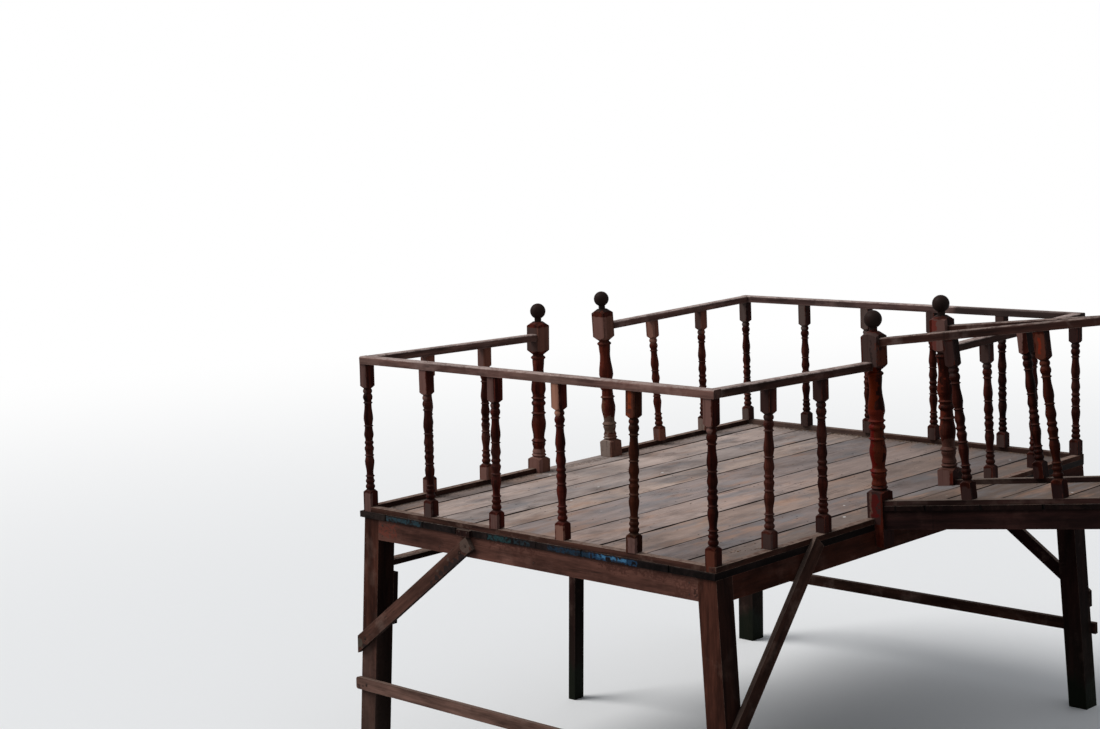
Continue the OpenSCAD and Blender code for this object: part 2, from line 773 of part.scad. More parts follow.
module gangway_near_stringer() color(beam_brown) place() cut_to_platform() stringer(gangway_newels[0]);
module gangway_far_stringer() color(beam_brown) place() cut_to_platform() stringer(gangway_newels[1]);

module gangway_planks() {
    reach = stringer_t / 2 + gangway_lip;
    color(deck_grey) place() difference() {
        on_slope() translate([0, gangway_newels[0] - reach, 0])
            boards(gangway_shares, gangway_open, gangway_len, gangway_w + 2 * reach, gangway_plank_t);
        shore_rooms();
    }
}

module gangway_kerbs() color(beam_brown) place() difference() {
    on_slope() for (side = [0, 1])
        translate([0, gangway_newels[side] - (side == 0 ? baluster_w / 2 : kerb_w - baluster_w / 2),
            gangway_plank_t])
            cube([gangway_end, kerb_w, gangway_kerb_h]);
    shore_fronts();
    end_newel_blocks();
}

// Clear space for the end newels, which the kerbs and rails meet
module end_newel_blocks() {
    on_slope() for (y = gangway_newels)
        translate([gangway_end - newel_w / 2, y - newel_w / 2, 0]) cube([2 * newel_w, newel_w, newel_h]);
}

// The frame on the top of a gangway rail: x runs along it from the newel
module on_rail(side, tilt) {
    on_slope() translate([gangway_start, gangway_newels[side], gangway_rail_z]) rotate([0, -tilt, 0])
        children();
}

module gangway_rail(side, tilt) difference() {
    on_rail(side, tilt) translate([-newel_w, 0, 0]) rail_bar(gangway_end - gangway_start + newel_w);
    shore_fronts();
    end_newel_blocks();
}

module gangway_near_rail() color(rail_brown) place() gangway_rail(0, near_rail_tilt);
module gangway_far_rail() color(rail_brown) place() gangway_rail(1, -far_rail_tilt);

// Gangway balusters are cut to the rail above them
module gangway_balusters(side, first, tilt) {
    bay = (gangway_end - gangway_start - first) / (gangway_bays - 1);
    difference() {
        on_slope() for (i = [1:gangway_bays - 1]) {
            along = first + (i - 1) * bay;
            translate([gangway_start + along, gangway_newels[side], gangway_kerb_top])
                baluster(gangway_rail_h - rail_t + along * tan(tilt), 0, spare / 2);
        }
        on_rail(side, tilt) translate([0, -rail_w, -rail_t]) cube([gangway_len, 2 * rail_w, 2 * rail_t]);
    }
}

module gangway_near_balusters()
    color(turned_red) place() gangway_balusters(0, gangway_near_first, near_rail_tilt);
module gangway_far_balusters()
    color(turned_red) place() gangway_balusters(1, gangway_far_first, -far_rail_tilt);

module gangway_end_newels() color(turned_red) place() {
    on_slope() for (y = gangway_newels)
        translate([gangway_end, y, gangway_plank_t]) newel();
}

module gangway_cross_beam() color(beam_brown) place() {
    reach = stringer_t;
    on_slope() translate([gangway_leg_x - cross_beam_w / 2, gangway_newels[0] - reach, 0])
        translate([0, 0, -stringer_h - cross_beam_w])
            cube([cross_beam_w, gangway_w + 2 * reach, cross_beam_w]);
}

module gangway_leg(y) {
    x = gangway_x + (gangway_leg_x) * cos(gangway_slope) + (stringer_h + cross_beam_w) * sin(gangway_slope);
    intersection() {
        translate([x - gangway_leg_w / 2, y - gangway_leg_w / 2, 0])
            cube([gangway_leg_w, gangway_leg_w, 2 * deck_h]);
        on_slope() translate([0, 0, -stringer_h - cross_beam_w - 3 * deck_h])
            cube([2 * gangway_len, platform_l, 3 * deck_h]);
    }
}

module gangway_near_leg() color(leg_brown) place() gangway_leg(gangway_newels[0]);
module gangway_far_leg() color(leg_brown) place() gangway_leg(gangway_newels[1]);

lake_near_leg();
shore_near_leg();
lake_far_leg();
shore_far_leg();
lake_middle_leg();
near_beam();
far_beam();
lake_beam();
shore_beam();
joists();
deck_planks();
near_kerb();
far_kerb();
lake_kerbs();
shore_kerbs();
near_tie();
far_tie();
lake_step();
cleats();
near_brace();
far_brace();
shore_brace();
near_rail();
far_rail();
lake_rails();
shore_rails();
near_balusters();
far_balusters();
lake_balusters();
shore_balusters();
lake_newels();
shore_newels();
gangway_sill();
gangway_near_stringer();
gangway_far_stringer();
gangway_planks();
gangway_kerbs();
gangway_near_rail();
gangway_far_rail();
gangway_near_balusters();
gangway_far_balusters();
gangway_end_newels();
gangway_cross_beam();
gangway_near_leg();
gangway_far_leg();
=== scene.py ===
"""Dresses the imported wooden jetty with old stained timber, nails and dirt, and lights it."""

import logging
import math
import random
from dataclasses import dataclass, replace
from enum import Enum

import bmesh
import bpy
from mathutils import Euler, Matrix, Vector
from mathutils.bvhtree import BVHTree


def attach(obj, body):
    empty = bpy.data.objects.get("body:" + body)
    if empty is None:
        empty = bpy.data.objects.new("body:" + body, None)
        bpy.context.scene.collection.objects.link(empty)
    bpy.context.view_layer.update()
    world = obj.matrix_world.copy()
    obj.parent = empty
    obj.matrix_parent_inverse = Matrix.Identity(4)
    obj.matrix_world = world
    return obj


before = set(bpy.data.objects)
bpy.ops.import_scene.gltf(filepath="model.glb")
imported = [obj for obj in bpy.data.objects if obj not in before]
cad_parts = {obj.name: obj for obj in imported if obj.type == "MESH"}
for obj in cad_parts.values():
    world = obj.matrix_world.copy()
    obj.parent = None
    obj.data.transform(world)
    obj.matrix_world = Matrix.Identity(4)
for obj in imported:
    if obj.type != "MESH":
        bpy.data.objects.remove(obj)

LOG = logging.getLogger("jetty")
Colour = tuple[float, float, float]
Place = tuple[float, float, float]
Feed = bpy.types.NodeSocket | float | tuple[float, ...]

# The middle of the jetty's footprint, from its near lake corner baluster
MIDDLE = Vector((2.66596, 1.7714, 0.0))
DECK = 1.6
SLOPE = math.radians(7.25)
# Where the gangway's boards start: metres from the line of the lake balusters, and above the deck
FOOT = (2.59, 0.065)
# How far the dark of a joint reaches from its middle, at the least and the most, and how much further away a
# closed joint counts than one that stands open, in metres
JOINT = (0.0115, 0.0185)
CLOSED = 0.005
# How far the grain is shifted from one timber of a row to the next
GRAIN_STEP = (1.37, 0.31, 0.23)
ORIGIN: Place = (0.0, 0.0, 0.0)
UP: Place = (0.0, 0.0, 1.0)


def at(x: float, y: float, z: float = 0.0) -> Place:
    """Returns a place in the frame, from metres past the lake and the near balusters and above the deck."""
    return (x - MIDDLE.x, y - MIDDLE.y, z + DECK)


def scaled(colour: Colour, share: float) -> Colour:
    """Returns a colour with each of its parts multiplied by a share."""
    return tuple(share * part for part in colour)


class Tone(Enum):
    """Linear colours of dirt, marks, gaps, wet places, broad darkening and painted shade."""

    SOIL = (0.085, 0.058, 0.043)
    # Broad darkening of the deck towards its far side
    FAR_DARK = (0.046, 0.039, 0.037)
    # Dirt and painted shade in grooves and corners
    GRIME_AND_SHADE = (0.016, 0.011, 0.009)
    ROT = (0.020, 0.016, 0.016)
    GREY = (0.105, 0.072, 0.058)
    NAIL_MARK = (0.009, 0.006, 0.005)
    BLUE = (0.20, 0.205, 0.22)
    RUST = (0.40, 0.235, 0.16)
    BRUISE = (0.13, 0.10, 0.09)
    SPECK = (0.75, 0.74, 0.72)
    PIT = (0.03, 0.02, 0.018)
    CRACK = (0.014, 0.009, 0.007)
    JOINT = (0.016, 0.010, 0.009)
    GAP = (0.004, 0.003, 0.003)
    DAMP = (0.018, 0.016, 0.012)
    WET = (0.010, 0.013, 0.008)
    # Black that the painted shade on faces turned to the shore and on undersides goes towards
    PAINTED_SHADE = (0.0, 0.0, 0.0)


class Grain(Enum):
    """The way a timber's grain runs, as the turn in degrees that brings it along X."""

    LONG = (0.0, 0.0, 0.0)
    ACROSS = (0.0, 0.0, -90.0)
    UPRIGHT = (0.0, 90.0, 0.0)
    GANGWAY = (0.0, 7.25, 0.0)
    GANGWAY_POST = (0.0, 97.25, 0.0)
    NEAR_BRACE = (0.0, 37.2, 0.0)
    FAR_BRACE = (0.0, -36.4, 0.0)
    SHORE_BRACE = (-46.2, 0.0, -90.0)


@dataclass(frozen=True)
class Patch:
    """A place where the finish has another colour, such as paint or a pale knot.

    Attributes:
        centre: Middle of the patch, in the frame.
        half: Half its size along each axis.
        colour: Its linear colour.
        strength: How much of it covers the timber, from 0 to 1.
        ragged: How far its outline breaks up, in metres.
        soft: Distance over which its outline fades, in metres.
    """

    centre: Place
    half: Place
    colour: Colour
    strength: float = 0.8
    ragged: float = 0.012
    soft: float = 0.004


@dataclass(frozen=True)
class Tints:
    """Timbers in a row, each with a tint of its own.

    Attributes:
        edges: Where one timber ends and the next starts, along the row.
        tints: One colour for each timber, by which its stain is multiplied.
        axis: The frame's axis along the row: 0 for X and 1 for Y.
        sloped: Whether the row runs up the gangway, measured from its lower edge.
        gaping: Numbers of the edges at which a joint stands open.
    """

    edges: tuple[float, ...]
    tints: tuple[Colour, ...]
    axis: int = 0
    sloped: bool = False
    gaping: tuple[int, ...] = ()


@dataclass(frozen=True)
class Finish:
    """An old stained or bare timber.

    Attributes:
        name: Name of the material.
        grain: The way the grain runs.
        deep: Linear colour of the stain in the dark lines of the grain.
        main: Linear colour of the stain elsewhere.
        bare: Linear colour where the stain is worn through.
        sky: Linear colour that faces turned to the sky have weathered to.
        weathering: How much of that colour such faces have.
        painted_shade: Painted shade on the faces turned to the shore and on undersides, where the stain is
            left.
        wear: Share of the stain worn off in patches.
        rough: Roughness of the dry timber.
        relief: Depth of the grain, in millimetres.
        grime_and_shade: Darkening in corners and grooves, partly dirt and partly painted shade.
        rub: How pale the worn corners are.
        gloss: Specular level of the surface.
        blotch: How much of the faces turned to the sky keeps its stain in blotches.
        turned: Whether it is a turned post, on which only the corners of the blocks are worn.
        wet: Whether its foot is damp and dark.
        tints: Tints of the separate timbers, if they differ.
        patches: Places with another colour.
    """

    name: str
    grain: Grain
    deep: Colour
    main: Colour
    bare: Colour
    sky: Colour
    weathering: float = 0.8
    painted_shade: float = 0.5
    wear: float = 0.4
    rough: float = 0.72
    relief: float = 1.2
    grime_and_shade: float = 0.5
    rub: float = 0.6
    gloss: float = 0.05
    blotch: float = 0.25
    turned: bool = False
    wet: bool = False
    tints: Tints | None = None
    patches: tuple[Patch, ...] = ()

    def stained(self, name: str, grain: Grain, main: Colour, painted_shade: float = 0.5,
                patches: tuple[Patch, ...] = ()) -> "Finish":
        """Returns the finish with a stain, of which its own deep is the share in the lines of the grain."""
        deep = tuple(share * part for share, part in zip(self.deep, main))
        return replace(self, name=name, grain=grain, deep=deep, main=main, painted_shade=painted_shade, patches=patches)


class Graph:
    """Adds nodes to one node tree and links them."""

    def __init__(self, tree: bpy.types.NodeTree) -> None:
        """Keeps the tree that the nodes go into."""
        self.tree = tree

    def feed(self, socket: bpy.types.NodeSocket, value: Feed) -> None:
        """Links a socket to another or sets its value.

        Args:
            socket: The input socket.
            value: An output socket, a number or a tuple of numbers.
        """
        if isinstance(value, bpy.types.NodeSocket):
            self.tree.links.new(value, socket)
        elif isinstance(value, tuple) and len(value) == 3 and socket.type == "RGBA":
            socket.default_value = (*value, 1.0)
        else:
            socket.default_value = value

    def add(self, kind: str, inputs: dict[str | int, Feed] | None = None,
            **settings: object) -> bpy.types.Node:
        """Adds a node.

        Args:
            kind: The node's type, without the prefix ShaderNode.
            inputs: Values or links by the name or number of the input socket.
            **settings: Properties of the node.

        Returns:
            The new node.
        """
        node = self.tree.nodes.new("ShaderNode" + kind)
        for name, value in settings.items():
            setattr(node, name, value)
        for key, value in (inputs or {}).items():
            self.feed(node.inputs[key], value)
        return node

    def math(self, operation: str, first: Feed, second: Feed = 0.0,
             clamp: bool = False) -> bpy.types.NodeSocket:
        """Returns the result of a Math node."""
        return self.add("Math", {0: first, 1: second}, operation=operation, use_clamp=clamp).outputs[0]

    def times(self, first: Feed, second: Feed) -> bpy.types.NodeSocket:
        """Returns the product of two values."""
        return self.math("MULTIPLY", first, second)

    def vector(self, operation: str, first: Feed, second: Feed) -> bpy.types.NodeSocket:
        """Returns the vector, or the value of a dot product, of a Vector Math node."""
        node = self.add("VectorMath", {0: first, 1: second}, operation=operation)
        return node.outputs[1 if operation == "DOT_PRODUCT" else 0]

    def parts(self, value: Feed) -> bpy.types.bpy_prop_collection:
        """Returns the parts of a vector, by name or number."""
        return self.add("SeparateXYZ", {0: value}).outputs

    def grey(self, value: Feed) -> bpy.types.NodeSocket:
        """Returns the vector, or grey, whose parts all have one value."""
        return self.add("CombineXYZ", {0: value, 1: value, 2: value}).outputs[0]

    def spread(self, value: Feed, low: float, high: float, to_low: float = 0.0, to_high: float = 1.0,
               smooth: bool = False) -> bpy.types.NodeSocket:
        """Maps a value from one range to another, clamped.

        Args:
            value: The value to map.
            low: Start of its range.
            high: End of its range.
            to_low: Result at the start.
            to_high: Result at the end.
            smooth: Whether the ends are eased.

        Returns:
            The mapped value.
        """
        inputs = {"Value": value, "From Min": low, "From Max": high, "To Min": to_low, "To Max": to_high}
        kind = "SMOOTHSTEP" if smooth else "LINEAR"
        return self.add("MapRange", inputs, interpolation_type=kind).outputs[0]

    def mix(self, amount: Feed, first: Feed, second: Feed, blend: str = "MIX") -> bpy.types.NodeSocket:
        """Returns two colours mixed by an amount."""
        node = self.add("Mix", {0: amount, 6: first, 7: second}, data_type="RGBA", blend_type=blend)
        return node.outputs[2]

    def cover(self, colour: Feed, mask: Feed, share: Feed, tone: Colour) -> bpy.types.NodeSocket:
        """Returns a colour that a share of a tone covers where a mask is 1."""
        return self.mix(self.times(mask, share), colour, tone)

    def tinted(self, colour: Feed, tint: Feed) -> bpy.types.NodeSocket:
        """Returns a colour multiplied by a tint."""
        return self.mix(1.0, colour, tint, "MULTIPLY")

    def varied(self, colour: Feed, value: Feed, low: float, high: float) -> bpy.types.NodeSocket:
        """Returns a colour multiplied by a value from 0 to 1 that is spread between two others."""
        return self.tinted(colour, self.grey(self.spread(value, 0.0, 1.0, low, high)))

    def stretch(self, place: Feed, sizes: Place, offset: Feed = ORIGIN) -> bpy.types.NodeSocket:
        """Returns a place scaled along each axis and shifted."""
        return self.vector("ADD", self.vector("MULTIPLY", place, sizes), offset)

    def noise(self, place: Feed, scale: float, detail: float = 2.0, rough: float = 0.5,
              twist: float = 0.0) -> bpy.types.NodeSocket:
        """Returns the value of a Noise Texture."""
        inputs = {"Vector": place, "Scale": scale, "Detail": detail, "Roughness": rough, "Distortion": twist}
        return self.add("TexNoise", inputs).outputs[0]

    def flecks(self, place: Feed, sizes: Place, detail: float, rough: float, ends: tuple[float, float],
               offset: Place = ORIGIN) -> bpy.types.NodeSocket:
        """Returns noise at a stretched place, spread from 0 to 1 between two ends."""
        return self.spread(self.noise(self.stretch(place, sizes, offset), 1.0, detail, rough), *ends)

    def cells(self, place: Feed, scale: float) -> tuple[bpy.types.NodeSocket, bpy.types.NodeSocket]:
        """Returns the distance to the nearest cell's middle and the cell's random value."""
        node = self.add("TexVoronoi", {"Vector": place, "Scale": scale})
        return node.outputs["Distance"], self.parts(node.outputs["Color"])[0]

    def steps(self, value: Feed, colours: tuple[Colour, ...]) -> bpy.types.NodeSocket:
        """Returns the colour that a whole number counts out.

        Args:
            value: The number, from 0.
            colours: The colours, at most 32.

        Returns:
            The colour's socket.
        """
        count = len(colours)
        node = self.add("ValToRGB", {0: self.math("DIVIDE", self.math("ADD", value, 0.5), float(count))})
        node.color_ramp.interpolation = "CONSTANT"
        points = node.color_ramp.elements
        points[0].color, points[1].position = (*colours[0], 1.0), 0.999
        points[1].color = (*colours[-1], 1.0)
        for number in range(1, count):
            points.new(number / count).color = (*colours[number], 1.0)
        return node.outputs[0]

    def use(self, effect: bpy.types.NodeTree, **inputs: Feed) -> bpy.types.bpy_prop_collection:
        """Places a shared effect.

        Args:
            effect: The effect's group.
            **inputs: Values or links by input name.

        Returns:
            The outputs of the group's node.
        """
        node = self.tree.nodes.new("ShaderNodeGroup")
        node.node_tree = effect
        for key, value in inputs.items():
            self.feed(node.inputs[key], value)
        return node.outputs

    def count(self, place: Feed, row: Tints) -> tuple[bpy.types.NodeSocket, bpy.types.NodeSocket]:
        """Counts the timbers of a row.

        Args:
            place: The place in Object coordinates.
            row: The row of timbers.

        Returns:
            The timber's number, from 0, and the distance to the nearest joint in metres.
        """
        if row.sloped:
            foot = (-at(FOOT[0], 0.0)[0], 0.0, -at(0.0, 0.0, FOOT[1])[2])
            along = self.vector("DOT_PRODUCT", self.vector("ADD", place, foot),
                                (math.cos(SLOPE), 0.0, math.sin(SLOPE)))
        else:
            along = self.parts(place)[row.axis]
        number, seam = 0.0, 1.0
        for index, edge in enumerate(row.edges):
            number = self.math("ADD", number, self.math("GREATER_THAN", along, edge))
            away = self.math("ABSOLUTE", self.math("SUBTRACT", along, edge))
            if index not in row.gaping:
                away = self.math("ADD", away, CLOSED)
            seam = self.math("MINIMUM", seam, away)
        return number, seam

    def surface(self, shader: bpy.types.Node, colour: Feed, rough: Feed, height: Feed, depth: float,
                strength: float) -> None:
        """Gives a shader its colour, roughness and relief.

        Args:
            shader: The material's Principled BSDF.
            colour: Its colour.
            rough: Its roughness.
            height: The relief, as a share of the depth.
            depth: Depth of the relief, in metres.
            strength: How strongly the relief shows.
        """
        self.feed(shader.inputs["Base Color"], colour)
        self.feed(shader.inputs["Roughness"], rough)
        bump = self.add("Bump", {"Strength": strength, "Distance": depth, "Height": height})
        self.feed(shader.inputs["Normal"], bump.outputs[0])


class Effect(Graph):
    """A shader node group with named inputs and outputs, of which the first input is the place."""

    def __init__(self, name: str, outputs: tuple[str, ...], **inputs: float | Place) -> None:
        """Makes an empty group.

        Args:
            name: Name of the group.
            outputs: Names of the outputs, each a single value.
            **inputs: Default value of each other input; a tuple makes it a vector.
        """
        super().__init__(bpy.data.node_groups.new(name, "ShaderNodeTree"))
        for key, value in {"Place": ORIGIN, **inputs}.items():
            kind = "NodeSocketVector" if isinstance(value, tuple) else "NodeSocketFloat"
            self.tree.interface.new_socket(name=key, in_out="INPUT", socket_type=kind).default_value = value
        for key in outputs:
            self.tree.interface.new_socket(name=key, in_out="OUTPUT", socket_type="NodeSocketFloat")
        self.start = self.tree.nodes.new("NodeGroupInput").outputs
        self.end = self.tree.nodes.new("NodeGroupOutput").inputs
        self.place = self.start["Place"]

    def give(self, **results: Feed) -> bpy.types.NodeTree:
        """Links the results to the group's outputs and returns the group."""
        for key, value in results.items():
            self.feed(self.end[key], value)
        return self.tree


class Effects:
    """The effects that the finishes share."""

    def __init__(self) -> None:
        """Builds each effect once."""
        self.grain = self.make_grain()
        self.edges = self.make_edges()
        self.grime_and_shade = self.make_grime_and_shade()
        self.facing = self.make_facing()
        self.patch = self.make_patch()
        self.waterline = self.make_waterline()
        self.trodden = self.make_trodden()

    def make_grain(self) -> bpy.types.NodeTree:
        """Wavy grain along X: streaks, fine fibres, broad changes of tone, cracks and knots."""
        effect = Effect("Grain", ("Streaks", "Fibres", "Broad", "Cracks", "Knots"))
        place = effect.place
        wave = effect.add("TexNoise", {"Vector": effect.stretch(place, (0.9, 4.0, 4.0)), "Scale": 1.0,
                                       "Detail": 1.0}).outputs["Color"]
        bent = effect.vector("ADD", place, effect.stretch(wave, (0.0, 0.022, 0.022)))
        streaks = effect.flecks(bent, (1.4, 30.0, 30.0), 4.0, 0.62, (0.3, 0.7))
        fibres = effect.flecks(bent, (10.0, 330.0, 330.0), 2.0, 0.6, (0.28, 0.72))
        broad = effect.flecks(bent, (2.2, 11.0, 11.0), 4.0, 0.65, (0.34, 0.66), (3.0, 8.0, 5.0))
        line = effect.noise(effect.stretch(bent, (0.8, 34.0, 34.0), (7.0, 3.0, 1.0)), 1.0, 1.0)
        near = effect.spread(effect.math("ABSOLUTE", effect.math("SUBTRACT", line, 0.5)), 0.0, 0.012, 1.0,
                             0.0)
        where = effect.spread(effect.noise(place, 2.6, 1.0), 0.55, 0.62)
        far, lot = effect.cells(effect.stretch(place, (1.9, 6.5, 6.5)), 1.0)
        knot = effect.times(effect.spread(far, 0.13, 0.05, smooth=True), effect.spread(lot, 0.55, 0.56))
        return effect.give(Streaks=streaks, Fibres=fibres, Broad=broad, Cracks=effect.times(near, where),
                           Knots=knot)

    def make_edges(self) -> bpy.types.NodeTree:
        """Edges worn by hands and weather, broken up, and the upright ones of them alone."""
        effect = Effect("Worn Edges", ("Edge", "Corner"), Width=0.005)
        soft = effect.add("Bevel", {"Radius": effect.start["Width"]}, samples=5).outputs[0]
        hard = effect.add("NewGeometry").outputs["Normal"]
        bend = effect.spread(effect.vector("DOT_PRODUCT", soft, hard), 0.995, 0.86)
        broken = effect.spread(effect.noise(effect.place, 26.0, 3.0, 0.6), 0.34, 0.62)
        level = [effect.add("VectorMath", {0: effect.vector("MULTIPLY", side, (1.0, 1.0, 0.0))},
                            operation="NORMALIZE").outputs[0] for side in (soft, hard)]
        upright = effect.spread(effect.vector("DOT_PRODUCT", level[0], level[1]), 0.99, 0.86)
        return effect.give(Edge=effect.times(bend, broken),
                           Corner=effect.times(effect.times(upright, bend), broken))

    def make_grime_and_shade(self) -> bpy.types.NodeTree:
        """Dirt that has settled in grooves and corners, with painted shade there, both found by ambient
        occlusion.
        """
        effect = Effect("Grime", ("Grime",), Reach=0.02)
        open_sky = effect.add("AmbientOcclusion", {"Distance": effect.start["Reach"]},
                              samples=5).outputs["AO"]
        depth = effect.spread(open_sky, 0.97, 0.45)
        broken = effect.spread(effect.noise(effect.place, 18.0, 2.0), 0.25, 0.6, 0.55, 1.0)
        return effect.give(Grime=effect.times(depth, broken))

    def make_facing(self) -> bpy.types.NodeTree:
        """Masks of the faces turned to the sky and of those turned to the shore or downwards, where shade is
        painted.
        """
        effect = Effect("Facing", ("Sky", "Shore"))
        part = effect.parts(effect.add("NewGeometry").outputs["Normal"])
        ragged = effect.noise(effect.place, 14.0, 3.0, 0.6)
        tilt = effect.math("ADD", part["Z"], effect.spread(ragged, 0.3, 0.7, -0.12, 0.12))
        shore = effect.math("MAXIMUM", part["X"], effect.times(part["Z"], -1.0))
        return effect.give(Sky=effect.spread(tilt, 0.35, 0.75, smooth=True),
                           Shore=effect.spread(shore, 0.1, 0.75, smooth=True))

    def make_patch(self) -> bpy.types.NodeTree:
        """Mask of a box with a broken outline."""
        effect = Effect("Patch", ("Mask",), Centre=ORIGIN, Half=(1.0, 1.0, 1.0), Ragged=0.01, Soft=0.004)
        stir = effect.add("TexNoise", {"Vector": effect.place, "Scale": 38.0, "Detail": 3.0}).outputs["Color"]
        shift = effect.vector("MULTIPLY", effect.vector("SUBTRACT", stir, (0.5, 0.5, 0.5)),
                              effect.start["Ragged"])
        shift = effect.vector("MULTIPLY", shift, (4.0, 4.0, 4.0))
        away = effect.vector("SUBTRACT", effect.vector("ADD", effect.place, shift), effect.start["Centre"])
        away = effect.add("VectorMath", {0: away}, operation="ABSOLUTE").outputs[0]
        part = effect.parts(effect.vector("SUBTRACT", away, effect.start["Half"]))
        out = effect.math("MAXIMUM", part["X"], effect.math("MAXIMUM", part["Y"], part["Z"]))
        soft = effect.start["Soft"]
        return effect.give(Mask=effect.spread(out, soft, effect.times(soft, -1.0), smooth=True))

    def make_waterline(self) -> bpy.types.NodeTree:
        """Masks of the wet foot of a leg and of the damp above it."""
        effect = Effect("Waterline", ("Wet", "Damp"))
        height = effect.parts(effect.place)["Z"]
        ragged = effect.noise(effect.stretch(effect.place, (9.0, 9.0, 2.5)), 1.0, 3.0, 0.6)
        level = effect.math("ADD", height, effect.spread(ragged, 0.3, 0.7, -0.06, 0.06))
        return effect.give(Wet=effect.spread(level, 0.24, 0.15, smooth=True),
                           Damp=effect.spread(level, 0.9, 0.2, smooth=True))

    def make_trodden(self) -> bpy.types.NodeTree:
        """Marks on bare boards: blue-grey and rusty streaks, pits, pale specks and bruises."""
        effect = Effect("Trodden", ("Blue", "Rust", "Pits", "Specks", "Bruises"))
        place = effect.place
        blue = effect.flecks(place, (2.0, 5.0, 5.0), 5.0, 0.62, (0.5, 0.66))
        rust = effect.flecks(place, (2.4, 7.0, 7.0), 5.0, 0.65, (0.52, 0.68), (5.0, 9.0, 2.0))
        pit_far, pit_lot = effect.cells(effect.stretch(place, (0.6, 1.0, 1.0)), 34.0)
        pits = effect.times(effect.spread(pit_far, 0.2, 0.12), effect.spread(pit_lot, 0.86, 0.87))
        speck_far, speck_lot = effect.cells(effect.stretch(place, (0.8, 1.0, 1.0), (3.1, 0.0, 0.0)), 9.0)
        specks = effect.times(effect.spread(speck_far, 0.09, 0.05), effect.spread(speck_lot, 0.86, 0.87))
        bruises = effect.flecks(place, (2.6, 5.0, 5.0), 5.0, 0.65, (0.5, 0.66), (1.0, 4.0, 0.0))
        return effect.give(Blue=blue, Rust=rust, Pits=pits, Specks=specks, Bruises=bruises)


